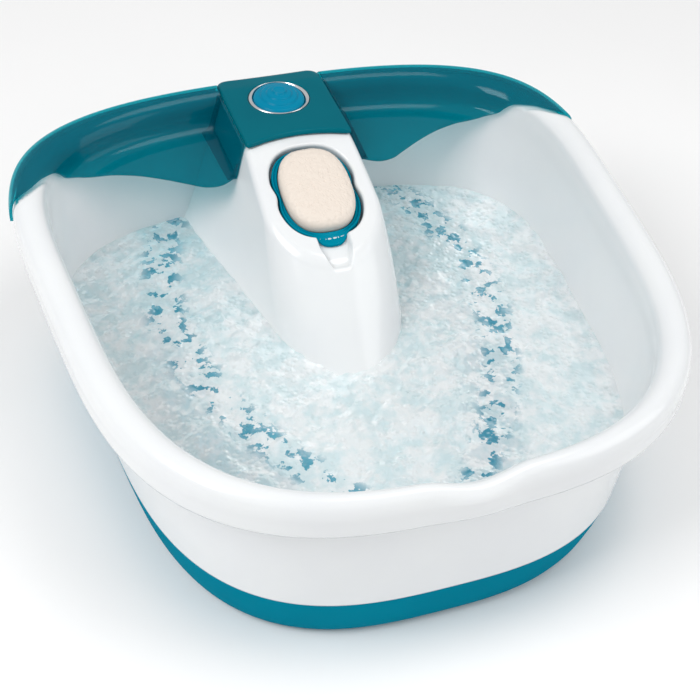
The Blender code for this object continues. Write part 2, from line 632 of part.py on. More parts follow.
def turned(name, profile, at, finish, steps=48):
    """Solid of revolution from a profile that runs from the top of the axis to its bottom."""
    points, faces = [], []
    start = []
    for radius, z in profile:
        start.append(len(points))
        if radius == 0.0:
            points.append((0.0, 0.0, z))
        else:
            points += [(radius * math.cos(2 * math.pi * k / steps),
                        radius * math.sin(2 * math.pi * k / steps), z) for k in range(steps)]
    for (r0, _), (r1, _), a, b in zip(profile, profile[1:], start, start[1:]):
        for k in range(steps):
            n = (k + 1) % steps
            if r0 == 0.0:
                faces.append((a, b + k, b + n))
            elif r1 == 0.0:
                faces.append((a + k, b, a + n))
            else:
                faces.append((a + k, b + k, b + n, a + n))
    obj = from_data(name, points, faces, finish)
    obj.location = (at[0], at[1], 0.0)
    return obj


def build_button(high):
    """Power button with stepped rings, its spring, and the push switch under it."""
    top, under = high + BUTTON_RISE, high - BUTTON_SKIRT
    stem_low = WELL_BOTTOM + STEM_LIFT
    r, at = BUTTON_RADIUS, (0, BUTTON_Y)
    turned("power_button", [
        (0.0, top), (0.0042, top - 0.0002), (0.0048, top - 0.0012), (0.0084, top - 0.0017),
        (0.0090, top - 0.0028), (0.0126, top - 0.0034), (0.0132, top - 0.0045),
        (r - 0.0014, top - 0.0051), (r, top - 0.0064), (r, under), (0.0034, under),
        (0.0030, stem_low), (0.0, stem_low)], at, "button_blue", 32)
    low, up, turns, steps = WELL_BOTTOM + CUP_WALL + GAP + 0.0005, under - GAP - 0.0005, 3, 12
    spine = []
    for k in range(turns * steps + 1):
        a = 2 * math.pi * k / steps
        spine.append((0.0062 * math.cos(a), 0.0062 * math.sin(a), low + (up - low) * k / (turns * steps)))
    wire("button_spring", spine, 0.0004, (0, BUTTON_Y, 0), "steel", 1)
    switch_top = WELL_BOTTOM - GAP
    switch = box("switch_body", (-0.0085, BUTTON_Y - 0.0065, switch_top - SWITCH_HEIGHT),
                 (0.0085, BUTTON_Y + 0.0065, switch_top), "black_plastic", 0.0006)
    cut(switch, cylinder("switch_bore", 0.0026, switch_top - 0.0092, switch_top + 0.01, at, steps=20))
    cylinder("switch_plunger", 0.0023, switch_top - 0.0061, stem_low - GAP, at, "button_blue", 20)


def wire(name, spine, radius, at, finish, resolution=2, kind="POLY"):
    """Round rod along a line of points, as a closed mesh."""
    curve = bpy.data.curves.new(name, "CURVE")
    curve.dimensions = "3D"
    curve.bevel_depth = radius
    curve.bevel_resolution = resolution
    curve.use_fill_caps = True
    spline = curve.splines.new(kind)
    spline.points.add(len(spine) - 1)
    for point, place in zip(spline.points, spine):
        point.co = (*place, 1.0)
    holder = bpy.data.objects.new(name + "_curve", curve)
    bpy.context.scene.collection.objects.link(holder)
    bpy.context.view_layer.update()
    mesh = bpy.data.meshes.new_from_object(holder)
    bpy.data.objects.remove(holder, do_unlink=True)
    obj = bpy.data.objects.new(name, mesh)
    obj.location = at
    weld = obj.modifiers.new("weld", "WELD")
    weld.merge_threshold = 0.00001
    return file_under(obj, finish)


def rounded_path(corners, radius, steps=5):
    """Line through the corners with each one rounded by a circular-looking bend."""
    path = [Vector(corners[0])]
    for before, here, after in zip(corners, corners[1:], corners[2:]):
        here = Vector(here)
        start = here + (Vector(before) - here).normalized() * radius
        end = here + (Vector(after) - here).normalized() * radius
        for k in range(steps + 1):
            t = k / steps
            path.append(start * (1 - t) ** 2 + here * 2 * t * (1 - t) + end * t ** 2)
    path.append(Vector(corners[-1]))
    return path


def pipe(name, corners, bend, finish):
    """Hollow tube along rounded corners."""
    path = rounded_path(corners, bend)
    tube = wire(name, path, PIPE_RADIUS, (0, 0, 0), finish)
    first = path[0] + (path[0] - path[1]).normalized() * 0.002
    last = path[-1] + (path[-1] - path[-2]).normalized() * 0.002
    cut(tube, wire(name + "_bore", [first] + path[1:-1] + [last], PIPE_BORE, (0, 0, 0), None))
    return tube


def build_pumice():
    """Scalloped holder with a front tab, and the domed stone in it."""
    width, length = POCKET_HALF_WIDTH - 0.0016, POCKET_HALF_LENGTH - 0.0016
    holder = stack("pumice_holder", [
        (oblong(width - 0.0015, length - 0.0015, 48, POCKET_WAIST), -POCKET_DEPTH + GAP),
        (oblong(width, length, 48, POCKET_WAIST), -POCKET_DEPTH + 0.0030),
        (oblong(width, length, 48, POCKET_WAIST), HOLDER_TOP)], "teal_plastic")
    tab = pocket_box("holder_tab", (-NOTCH_HALF_WIDTH + 0.0012, NOTCH_BEND + 0.0004, -NOTCH_DEPTH + GAP),
                     (NOTCH_HALF_WIDTH - 0.0012, -0.0330, HOLDER_TOP - 0.0008))
    add(holder, tab)
    seat = stack("stone_seat", [
        (oblong(PUMICE_HALF_WIDTH + GAP, PUMICE_HALF_LENGTH + GAP), HOLDER_SEAT),
        (oblong(PUMICE_HALF_WIDTH + GAP, PUMICE_HALF_LENGTH + GAP), 0.010)])
    cut(holder, seat)
    layers = [(0.90, HOLDER_SEAT + GAP), (0.97, HOLDER_SEAT + 0.0016), (1.0, HOLDER_SEAT + 0.0040),
              (1.0, 0.0010), (0.985, 0.0034), (0.93, 0.0056), (0.80, 0.0070), (0.52, PUMICE_TOP - 0.0002)]
    stack("pumice_stone", [(oblong(PUMICE_HALF_WIDTH * s, PUMICE_HALF_LENGTH * s, 40), z)
                           for s, z in layers], "pumice")


def offset_line(line, distance):
    """Plan line moved sideways by a distance."""
    moved = []
    for k, here in enumerate(line):
        before, after = line[max(k - 1, 0)], line[min(k + 1, len(line) - 1)]
        dx, dy = after[0] - before[0], after[1] - before[1]
        size = math.hypot(dx, dy)
        moved.append((here[0] - dy / size * distance, here[1] + dx / size * distance))
    return moved


def smooth_line(line, parts=3):
    """Catmull-Rom points through a plan line."""
    out = []
    for k in range(len(line) - 1):
        p0, p1 = line[max(k - 1, 0)], line[k]
        p2, p3 = line[k + 1], line[min(k + 2, len(line) - 1)]
        for j in range(parts):
            t = j / parts
            out.append(tuple(0.5 * (2 * b + (c - a) * t + (2 * a - 5 * b + 4 * c - d) * t * t
                                    + (3 * b - a - 3 * c + d) * t ** 3)
                             for a, b, c, d in zip(p0, p1, p2, p3)))
    return out + [line[-1]]


def strip_solid(name, side, half, low, high, trim, finish=None):
    """Bent bar along the strip line between two heights."""
    line = smooth_line([(x * side, y) for x, y in STRIP_LINE])
    if trim:
        line = line[1:-1]
    left, right = offset_line(line, half), offset_line(line, -half)
    plan = right + left[::-1]
    count = len(plan)
    points = [(x, y, z) for z in (low, high) for x, y in plan]
    faces = ring_faces(2, count) + [tuple(reversed(range(count))), tuple(range(count, 2 * count))]
    return from_data(name, points, faces, finish)


def build_strip(side, word):
    """Bubble strip on the floor: an upturned channel with two rows of air holes."""
    low, high = FLOOR_TOP + GAP, FLOOR_TOP + STRIP_HEIGHT
    strip = strip_solid(f"bubble_strip_{word}", side, STRIP_HALF_WIDTH, low, high, False, "teal_plastic")
    cut(strip, strip_solid(f"strip_hollow_{word}", side, STRIP_HALF_WIDTH - STRIP_WALL, low - 0.001,
                           high - STRIP_WALL, True))
    line = smooth_line([(x * side, y) for x, y in STRIP_LINE], 2)
    for k, (x, y) in enumerate(line[1:-1]):
        shift = 0.0055 if k % 2 else -0.0055
        cut(strip, cylinder(f"bubble_{word}_{k}", 0.0011, high - 0.004, high + 0.004, (x + shift, y),
                            steps=10))
    return strip


def build_air():
    """Blower housing, cover, impeller, shaft, motor and the pipes to the strips."""
    at = (FAN_X, FAN_Y)
    low = TRAY_INSIDE + GAP
    floor = 0.0030
    base = cylinder("blower_base", HOUSING_RADIUS, low, low + floor, at, "black_plastic", 40)
    cut(base, cylinder("blower_inlet", 0.0125, 0.0, 0.02, at, steps=28))
    housing = cylinder("blower_housing", HOUSING_RADIUS, low + floor + GAP, HOUSING_TOP, at,
                       "black_plastic", 40)
    outlet = cylinder("outlet_spout", 0.0070, -0.0050, 0.012, (0, 0), steps=24)
    outlet.matrix_world = Matrix.Translation((FAN_X, FAN_Y + HOUSING_RADIUS + 0.004, 0.0185)) \
        @ Matrix.Rotation(math.pi / 2, 4, "X")
    add(housing, outlet)
    cut(housing, cylinder("housing_hollow", HOUSING_RADIUS - 0.0022, 0.0, HOUSING_TOP - 0.0024, at,
                          steps=40))
    bore = cylinder("outlet_bore", PIPE_RADIUS + GAP, -0.022, 0.016, (0, 0), steps=24)
    bore.matrix_world = Matrix.Translation((FAN_X, FAN_Y + HOUSING_RADIUS + 0.004, 0.0185)) \
        @ Matrix.Rotation(math.pi / 2, 4, "X")
    cut(housing, bore)
    cut(housing, cylinder("shaft_hole", 0.0045, 0.0, 0.05, at, steps=20))
    impeller = cylinder("impeller", IMPELLER_RADIUS, 0.0205, 0.0220, at, "clear_tube", 40)
    add(impeller, cylinder("hub", 0.0055, 0.0110, 0.0215, at, steps=24))
    for k in range(9):
        a = 2 * math.pi * k / 9
        blade = box(f"blade_{k}", (0.0110, -0.0006, 0.0115),
                    (IMPELLER_RADIUS - 0.0010, 0.0006, 0.0210))
        blade.matrix_world = Matrix.Translation((*at, 0)) @ Matrix.Rotation(a, 4, "Z") \
            @ Matrix.Translation((0.0, 0.004, 0.0)) @ Matrix.Rotation(-0.35, 4, "Z") @ blade.matrix_basis
        add(impeller, blade)
    cut(impeller, cylinder("hub_bore", SHAFT_RADIUS + GAP, 0.0, 0.05, at, steps=16))
    cylinder("motor_shaft", SHAFT_RADIUS, 0.0112, 0.0620, at, "steel", 16)

    bracket = box("motor_bracket", (-0.026, FAN_Y - 0.008, 0.0555), (0.026, FAN_Y + 0.008, 0.0575),
                  "steel")
    for side in (-1, 1):
        inner, outer = sorted((side * 0.0240, side * 0.0260))
        add(bracket, box(f"bracket_leg_{side}", (inner, FAN_Y - 0.008, HOUSING_TOP + GAP),
                         (outer, FAN_Y + 0.008, 0.0570)))
    cut(bracket, cylinder("bracket_hole", 0.0033, 0.04, 0.07, at, steps=20))
    bearing = cylinder("upper_bearing", 0.0030, 0.0552, 0.0600, at, "steel", 20)
    cut(bearing, cylinder("upper_bore", SHAFT_RADIUS + GAP, 0.04, 0.07, at, steps=16))
    lower = cylinder("lower_bearing", 0.0042, 0.0246, 0.0290, at, "steel", 20)
    cut(lower, cylinder("lower_bore", SHAFT_RADIUS + GAP, 0.0, 0.07, at, steps=16))
    stator = box("motor_core", (-0.0205, FAN_Y - 0.0300, 0.0350), (0.0205, FAN_Y + 0.0160, 0.0480), "steel")
    cut(stator, cylinder("core_bore", 0.0115, 0.0, 0.10, at, steps=32))
    for side in (-1, 1):
        inner, outer = sorted((side * 0.0060, side * 0.0140))
        cut(stator, box(f"core_window_{side}", (inner, FAN_Y - 0.0240, 0.02),
                        (outer, FAN_Y - 0.0132, 0.06)))
    rotor = cylinder("motor_rotor", 0.0108, 0.0345, 0.0485, at, "aluminium", 32)
    cut(rotor, cylinder("rotor_bore", SHAFT_RADIUS + GAP, 0.0, 0.07, at, steps=16))
    coil = box("motor_coil", (-0.0132, FAN_Y - 0.0236, 0.0290), (0.0132, FAN_Y - 0.0136, 0.0540),
               "copper")
    cut(coil, box("coil_hole", (-0.0063, FAN_Y - 0.03, 0.0347), (0.0063, FAN_Y, 0.0483)))
    top = 0.112
    rear = FAN_Y + HOUSING_RADIUS
    pipe("air_riser", [(0, rear + 0.004, 0.0185), (0, rear + 0.020, 0.0185), (0, rear + 0.020, top),
                       (0, rear + 0.040, top), (0, rear + 0.040, 0.0262)], 0.009, "clear_tube")
    y = rear + 0.040
    manifold = box("air_manifold", (-0.0110, y - 0.0090, low), (0.0110, y + 0.0090, 0.0258), "black_plastic",
                   0.0008)
    cut(manifold, cylinder("manifold_top_bore", PIPE_BORE, 0.0120, 0.030, (0, y), steps=20))
    across = cylinder("manifold_side_bore", PIPE_BORE, -0.02, 0.02, (0, 0), steps=20)
    across.matrix_world = Matrix.Translation((0, y, 0.0145)) @ Matrix.Rotation(math.pi / 2, 4, "Y")
    cut(manifold, across)
    for side, word in ((-1, "left"), (1, "right")):
        end = (STRIP_LINE[1][0] * side, STRIP_LINE[1][1])
        pipe(f"air_duct_{word}", [(0.0114 * side, y, 0.0145), (0.030 * side, y, 0.0145),
                                  (end[0], end[1], 0.0145), (end[0], end[1], FLOOR_TOP + 0.0015)],
             0.009, "clear_tube")


def build_electrics():
    """Heater under the floor, its thermostat and fuse, circuit board and cord inlet."""
    top = FLOOR_BOTTOM - GAP
    box("heater_plate", (-0.042, -0.126, top - 0.0020), (0.042, -0.078, top), "aluminium")
    box("heater_element", (-0.038, -0.122, top - 0.0038), (0.038, -0.082, top - 0.0023), "copper")
    cylinder("thermostat", 0.0082, top - 0.0110, top - 0.0041, (0.022, -0.102), "black_plastic", 28)
    box("thermal_fuse", (-0.028, -0.106, top - 0.0081), (-0.012, -0.101, top - 0.0041), "steel", 0.0010)
    clamp = box("heater_clamp", (-0.0040, -0.1320, top - 0.0062), (0.0040, -0.0720, top - 0.0041), "steel")
    for k, y in enumerate((-0.1300, -0.0740)):
        add(clamp, box(f"clamp_foot_{k}", (-0.0040, y - 0.0018, top - 0.0050), (0.0040, y + 0.0018, top)))
    board = box("circuit_board", (-0.098, 0.020, 0.0125), (-0.058, 0.062, 0.0141), "board_green")
    box("board_relay", (-0.094, 0.040, 0.0144), (-0.078, 0.056, 0.0270), "black_plastic", 0.0006)
    cylinder("board_capacitor", 0.0055, 0.0144, 0.0262, (-0.068, 0.050), "button_blue", 24)
    box("terminal_block", (-0.090, 0.024, 0.0144), (-0.066, 0.034, 0.0230), "white_plastic", 0.0006)
    tray = bpy.data.objects["base_tray"]
    for k, (x, y) in enumerate(((-0.094, 0.024), (-0.062, 0.024), (-0.094, 0.058), (-0.062, 0.058))):
        add(tray, cylinder(f"board_post_{k}", 0.0022, TRAY_BOTTOM + 0.001, 0.0122, (x, y), steps=10))
    rear = RIM_HALF_LENGTH - 0.0440
    gland = turned("cord_gland", [
        (0.0026, 0.0180), (0.0040, 0.0180), (0.0052, 0.0090), (0.0082, 0.0086), (0.0082, 0.0060),
        (0.0058, 0.0056), (0.0058, -0.0040), (0.0026, -0.0040), (0.0026, 0.0180)], (0, 0), "rubber", 28)
    gland.matrix_world = Matrix.Translation((0, rear, 0.0215)) @ Matrix.Rotation(-math.pi / 2, 4, "X")
    merge = gland.modifiers.new("weld", "WELD")
    merge.merge_threshold = 0.00001


def build_fasteners():
    """Base screws and rubber feet."""
    for k, (x, y) in enumerate(spots(BOSS_SPOTS), 1):
        turned(f"base_screw_{k}", [(0.0, 0.0270), (0.0010, 0.0265), (0.0016, 0.0240), (0.0016, 0.0087),
                                   (0.0036, 0.0087), (0.0036, 0.0068), (0.0028, 0.0055),
                                   (0.0, 0.0055)], (x, y), "steel", 14)
    for k, (x, y) in enumerate(spots(FOOT_SPOTS), 1):
        turned(f"rubber_foot_{k}", [(0.0, TRAY_BOTTOM + 0.0012 - GAP), (0.0090, TRAY_BOTTOM + 0.0012 - GAP),
                                    (0.0090, 0.0008), (0.0082, 0.0), (0.0, 0.0)], (x, y), "rubber", 20)


build_tub()
build_tray()
build_guard()
panel_top = build_panel()
build_button(panel_top)
build_pumice()
build_strip(-1, "left")
build_strip(1, "right")
build_air()
build_electrics()
build_fasteners()
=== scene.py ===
"""Looks of the foot spa basin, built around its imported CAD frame.

The basin is a white tub with a hollow tower, a teal tray, a clear teal splash guard, a control panel
with its button, and a pumice stone in a lift-out holder.  Every new piece is a surface worked out with
numpy: rings of the rim line stacked along a section, or rings round a centre.  Units are metres.
"""

from __future__ import annotations

import json
import logging
import math
from dataclasses import dataclass, field
from enum import Enum

import bpy
import numpy as np
from mathutils import Matrix, Vector

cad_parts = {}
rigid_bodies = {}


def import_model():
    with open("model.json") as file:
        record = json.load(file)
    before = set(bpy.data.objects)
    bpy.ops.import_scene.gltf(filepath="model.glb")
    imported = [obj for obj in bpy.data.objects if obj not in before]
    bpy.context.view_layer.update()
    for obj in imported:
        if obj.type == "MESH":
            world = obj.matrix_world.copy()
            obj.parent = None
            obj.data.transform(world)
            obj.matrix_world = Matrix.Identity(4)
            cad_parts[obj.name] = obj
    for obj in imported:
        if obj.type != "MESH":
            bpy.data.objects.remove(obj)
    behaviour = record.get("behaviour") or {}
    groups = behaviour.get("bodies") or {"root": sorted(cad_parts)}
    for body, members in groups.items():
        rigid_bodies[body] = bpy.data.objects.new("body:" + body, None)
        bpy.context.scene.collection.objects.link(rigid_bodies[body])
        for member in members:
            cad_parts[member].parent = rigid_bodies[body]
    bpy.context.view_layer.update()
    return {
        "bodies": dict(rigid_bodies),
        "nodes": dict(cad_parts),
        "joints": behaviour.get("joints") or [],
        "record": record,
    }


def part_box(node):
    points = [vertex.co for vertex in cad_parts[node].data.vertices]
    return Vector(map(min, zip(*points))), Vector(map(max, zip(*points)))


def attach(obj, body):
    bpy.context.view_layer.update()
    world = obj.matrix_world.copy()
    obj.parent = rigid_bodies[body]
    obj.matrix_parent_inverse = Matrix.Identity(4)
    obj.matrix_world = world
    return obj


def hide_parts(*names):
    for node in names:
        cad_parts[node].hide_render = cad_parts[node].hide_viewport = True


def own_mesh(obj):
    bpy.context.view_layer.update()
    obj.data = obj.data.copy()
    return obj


LOG = logging.getLogger("foot_spa")
GAP = 0.0003
QUARTER = np.pi / 2


# ---------------------------------------------------------------- shader expressions
class Value:
    """A number socket that adds Math nodes when it is used in an expression."""

    def __init__(self, graph: Graph, socket: bpy.types.NodeSocket) -> None:
        """Wrap one output socket.

        Args:
            graph: the material's graph that owns the socket.
            socket: the output socket.
        """
        self.graph = graph
        self.socket = socket

    def math(self, operation: str, *others: float | Value) -> Value:
        """Add one Math node with this value first.

        Args:
            operation: the Math node's operation.
            others: the second and third inputs.

        Returns:
            The node's result.
        """
        return self.graph.math(operation, self, *others)

    def __add__(self, other: float | Value) -> Value:
        """Sum."""
        return self.math("ADD", other)

    __radd__ = __add__

    def __mul__(self, other: float | Value) -> Value:
        """Product."""
        return self.math("MULTIPLY", other)

    __rmul__ = __mul__

    def __sub__(self, other: float | Value) -> Value:
        """Difference."""
        return self.math("SUBTRACT", other)

    def __rsub__(self, other: float | Value) -> Value:
        """Difference with the number first."""
        return self.graph.math("SUBTRACT", other, self)

    def __pow__(self, other: float | Value) -> Value:
        """Power."""
        return self.math("POWER", other)

    def ramp(self, low: float, high: float) -> Value:
        """Smooth step from 0 at low to 1 at high.

        Args:
            low: value that gives 0.
            high: value that gives 1.

        Returns:
            The step's value.
        """
        node = self.graph.node("ShaderNodeMapRange", {"interpolation_type": "SMOOTHSTEP", "clamp": True},
                               {"Value": self, "From Min": low, "From Max": high})
        return Value(self.graph, node.outputs["Result"])


class Graph:
    """A material's node tree and the one shader that its pattern feeds."""

    def __init__(self, name: str) -> None:
        """Make an empty material.

        Args:
            name: the material's name.
        """
        self.material = bpy.data.materials.new(name)
        self.material.use_nodes = True
        self.tree = self.material.node_tree
        self.shader = self.tree.nodes["Principled BSDF"]

    def node(self, kind: str, settings: dict | None = None, inputs: dict | None = None) -> bpy.types.Node:
        """Add any node.

        Args:
            kind: the node's type name.
            settings: attributes set before the inputs.
            inputs: values or links by socket name or index.

        Returns:
            The new node.
        """
        made = self.tree.nodes.new(kind)
        for key, value in (settings or {}).items():
            setattr(made, key, value)
        for key, value in (inputs or {}).items():
            self.feed(made.inputs[key], value)
        return made

    def feed(self, socket: bpy.types.NodeSocket, value: object) -> None:
        """Link a socket, or set its number or colour.

        Args:
            socket: the input socket.
            value: a Value, an output socket, a number or a tuple.
        """
        if isinstance(value, Value):
            self.tree.links.new(value.socket, socket)
        elif isinstance(value, bpy.types.NodeSocket):
            self.tree.links.new(value, socket)
        elif isinstance(value, tuple) and len(value) == 3 and socket.type == "RGBA":
            socket.default_value = (*value, 1.0)
        else:
            socket.default_value = value

    def math(self, operation: str, *terms: float | Value) -> Value:
        """Add a Math node over the terms."""
        made = self.node("ShaderNodeMath", {"operation": operation}, dict(enumerate(terms)))
        return Value(self, made.outputs[0])

    def place(self) -> bpy.types.NodeSocket:
        """Object coordinates."""
        return self.node("ShaderNodeTexCoord").outputs["Object"]

    def noise(self, scale: float, detail: float = 3.0, roughness: float = 0.5) -> Value:
        """Noise over object coordinates.

        Args:
            scale: features per metre.
            detail: octaves.
            roughness: weight of the fine octaves.

        Returns:
            The noise factor.
        """
        made = self.node("ShaderNodeTexNoise", None, {"Vector": self.place(), "Scale": scale,
                                                      "Detail": detail, "Roughness": roughness})
        return Value(self, made.outputs["Fac"])

    def cells(self, scale: float) -> Value:
        """Distance to the nearest cell centre over object coordinates.

        Args:
            scale: cells per metre.

        Returns:
            The distance in cell widths.
        """
        made = self.node("ShaderNodeTexVoronoi", None, {"Vector": self.place(), "Scale": scale})
        return Value(self, made.outputs["Distance"])

    def blend(self, share: float | Value, first: object, second: object) -> bpy.types.NodeSocket:
        """Mix two colours.

        Args:
            share: 0 gives the first, 1 the second.
            first: a colour or socket.
            second: a colour or socket.

        Returns:
            The mixed colour.
        """
        made = self.node("ShaderNodeMix", {"data_type": "RGBA"})
        self.feed(made.inputs["Factor"], share)
        self.feed(made.inputs[6], first)
        self.feed(made.inputs[7], second)
        return made.outputs[2]

    def bump(self, height: Value, strength: float, distance: float) -> None:
        """Feed the shader's normal with a bump.

        Args:
            height: the height from 0 to 1.
            strength: how strongly it acts.
            distance: the height in metres that 1 stands for.
        """
        made = self.node("ShaderNodeBump", None, {"Strength": strength, "Distance": distance,
                                                  "Height": height})
        self.feed(self.shader.inputs["Normal"], made.outputs["Normal"])

    def set(self, **sockets: object) -> None:
        """Set the shader's own sockets; an underscore in a name stands for a space."""
        for name, value in sockets.items():
            self.feed(self.shader.inputs[name.replace("_", " ")], value)


# ---------------------------------------------------------------- finishes
@dataclass(frozen=True)
class Moulding:
    """Opaque moulded plastic with faint flow marks and a fine orange peel."""

    name: str
    colour: tuple[float, float, float]
    shade: tuple[float, float, float]
    roughness: float = 0.22
    coat: float = 0.25
    grain: float = 0.05
    glow: float = 0.0
    shine: float = 0.5

    def material(self) -> bpy.types.Material:
        """Make the material.

        Returns:
            The finished material.
        """
        g = Graph(self.name)
        flow = g.noise(14.0, 4.0)
        fine = g.noise(900.0, 2.0)
        g.set(Base_Color=g.blend(flow.ramp(0.3, 0.75), self.colour, self.shade),
              Roughness=self.roughness + 0.06 * (flow - 0.5) + 0.05 * (fine - 0.5),
              IOR=1.49, Specular_IOR_Level=self.shine, Coat_Weight=self.coat, Coat_Roughness=0.12,
              Subsurface_Weight=self.glow,
              Subsurface_Radius=(0.006, 0.006, 0.007), Subsurface_Scale=1.0)
        g.bump(fine * 0.6 + g.noise(240.0, 2.0) * 0.4, self.grain, 0.0004)
        return g.material


@dataclass(frozen=True)
class ClearPlastic:
    """Tinted see-through plastic: part of the light goes straight through and takes the tint."""

    name: str
    colour: tuple[float, float, float]
    deep: tuple[float, float, float]
    tint: tuple[float, float, float]
    clearness: float
    roughness: float = 0.08

    def material(self) -> bpy.types.Material:
        """Make the material.

        Returns:
            The finished material.
        """
        g = Graph(self.name)
        flow = g.noise(9.0, 3.0)
        g.set(Base_Color=g.blend(flow.ramp(0.35, 0.7), self.colour, self.deep),
              Roughness=self.roughness + 0.03 * (flow - 0.5), IOR=1.49, Specular_IOR_Level=0.45,
              Coat_Weight=0.10, Coat_Roughness=0.05)
        g.bump(g.noise(60.0, 2.0), 0.03, 0.0006)
        through = g.node("ShaderNodeBsdfTransparent", None, {"Color": self.tint})
        both = g.node("ShaderNodeMixShader", None, {"Fac": self.clearness - 0.06 * (flow - 0.5),
                                                    1: g.shader.outputs["BSDF"],
                                                    2: through.outputs["BSDF"]})
        g.tree.links.new(both.outputs["Shader"], g.tree.nodes["Material Output"].inputs["Surface"])
        return g.material


@dataclass(frozen=True)
class PorousStone:
    """Pale pumice with brown specks and open pores, whose darkening is painted shade."""

    name: str
    colour: tuple[float, float, float]
    pale: tuple[float, float, float]
    speck: tuple[float, float, float]

    def material(self) -> bpy.types.Material:
        """Make the material.

        Returns:
            The finished material.
        """
        g = Graph(self.name)
        cloud = g.noise(160.0, 5.0, 0.6)
        pores = g.noise(360.0, 2.0, 0.6).ramp(0.52, 0.60)
        specks = g.noise(470.0, 1.0).ramp(0.57, 0.62)
        body = g.blend(cloud.ramp(0.35, 0.70), self.colour, self.pale)
        # the pore mask pulls the colour towards the speck brown: painted shade in the pore holes
        pore_shaded_body = g.blend(pores * 0.55, body, self.speck)
        g.set(Base_Color=g.blend(specks * 0.85, pore_shaded_body, self.speck), Roughness=0.93 + 0.05 * (cloud - 0.5),
              Specular_IOR_Level=0.25)
        g.bump(1.0 - pores * 0.7 - specks * 0.5 + cloud * 0.5, 0.7, 0.0009)
        return g.material


@dataclass(frozen=True)
class Metal:
    """Bare or plated metal with drawn or speckled roughness."""

    name: str
    colour: tuple[float, float, float]
    roughness: float = 0.3
    grain: float = 700.0

    def material(self) -> bpy.types.Material:
        """Make the material.

        Returns:
            The finished material.
        """
        g = Graph(self.name)
        fine = g.noise(self.grain, 3.0)
        wide = g.noise(45.0, 2.0)
        darker = tuple(c * 0.82 for c in self.colour)
        g.set(Base_Color=g.blend(wide.ramp(0.35, 0.7), self.colour, darker), Metallic=1.0,
              Roughness=self.roughness + 0.10 * (fine - 0.5))
        g.bump(fine, 0.05, 0.0002)
        return g.material


@dataclass(frozen=True)
class MatteSkin:
    """Rubber, board or dull plastic with a pebbled skin."""

    name: str
    colour: tuple[float, float, float]
    roughness: float = 0.7
    grain: float = 600.0

    def material(self) -> bpy.types.Material:
        """Make the material.

        Returns:
            The finished material.
        """
        g = Graph(self.name)
        fine = g.noise(self.grain, 3.0)
        lighter = tuple(min(1.0, c * 1.5 + 0.01) for c in self.colour)
        g.set(Base_Color=g.blend(fine.ramp(0.3, 0.8), self.colour, lighter),
              Roughness=self.roughness + 0.12 * (fine - 0.5))
        g.bump(fine, 0.15, 0.0004)
        return g.material


class Finish(Enum):
    """The finishes that pieces and CAD nodes take."""

    WHITE = Moulding("white_moulding", (0.80, 0.82, 0.83), (0.77, 0.79, 0.81), 0.20, 0.30, 0.03, 0.08)
    TEAL = Moulding("teal_moulding", (0.0, 0.225, 0.330), (0.0, 0.200, 0.300), 0.30, 0.03, 0.05, 0.0, 0.0)
    PANEL = Moulding("panel_moulding", (0.0, 0.130, 0.172), (0.0, 0.112, 0.152), 0.24, 0.03, 0.05, 0.0, 0.04)
    BUTTON = Moulding("button_moulding", (0.0, 0.230, 0.375), (0.0, 0.205, 0.345), 0.30, 0.03, 0.05, 0.0,
                      0.06)
    CLEAR = ClearPlastic("clear_teal", (0.0, 0.17, 0.23), (0.0, 0.14, 0.20), (0.02, 0.70, 0.76), 0.70)
    PUMICE = PorousStone("pumice", (0.74, 0.63, 0.52), (0.82, 0.73, 0.63), (0.30, 0.17, 0.09))
    SILVER = Metal("silver_plate", (0.86, 0.88, 0.90), 0.22)
    STEEL = Metal("plain_steel", (0.56, 0.57, 0.58), 0.34)
    ALUMINIUM = Metal("plain_aluminium", (0.76, 0.77, 0.78), 0.38)
    COPPER = Metal("varnished_copper", (0.72, 0.32, 0.14), 0.32, 1500.0)
    RUBBER = MatteSkin("black_rubber", (0.022, 0.022, 0.024), 0.82, 900.0)
    BLACK = MatteSkin("black_moulding", (0.018, 0.018, 0.020), 0.42, 500.0)
    BOARD = MatteSkin("board", (0.012, 0.13, 0.05), 0.45, 1200.0)
    MILKY = MatteSkin("milky_tube", (0.60, 0.66, 0.64), 0.35, 300.0)

    def material(self) -> bpy.types.Material:
        """The finish's material, made once."""
        return bpy.data.materials.get(self.value.name) or self.value.material()


SLOT_FINISH = {
    "white_plastic": Finish.WHITE, "teal_plastic": Finish.TEAL, "teal_clear": Finish.CLEAR,
    "button_blue": Finish.BUTTON, "chrome": Finish.SILVER, "pumice": Finish.PUMICE,
    "rubber": Finish.RUBBER, "steel": Finish.STEEL, "aluminium": Finish.ALUMINIUM,
    "copper": Finish.COPPER, "black_plastic": Finish.BLACK, "board_green": Finish.BOARD,
    "clear_tube": Finish.MILKY,
}


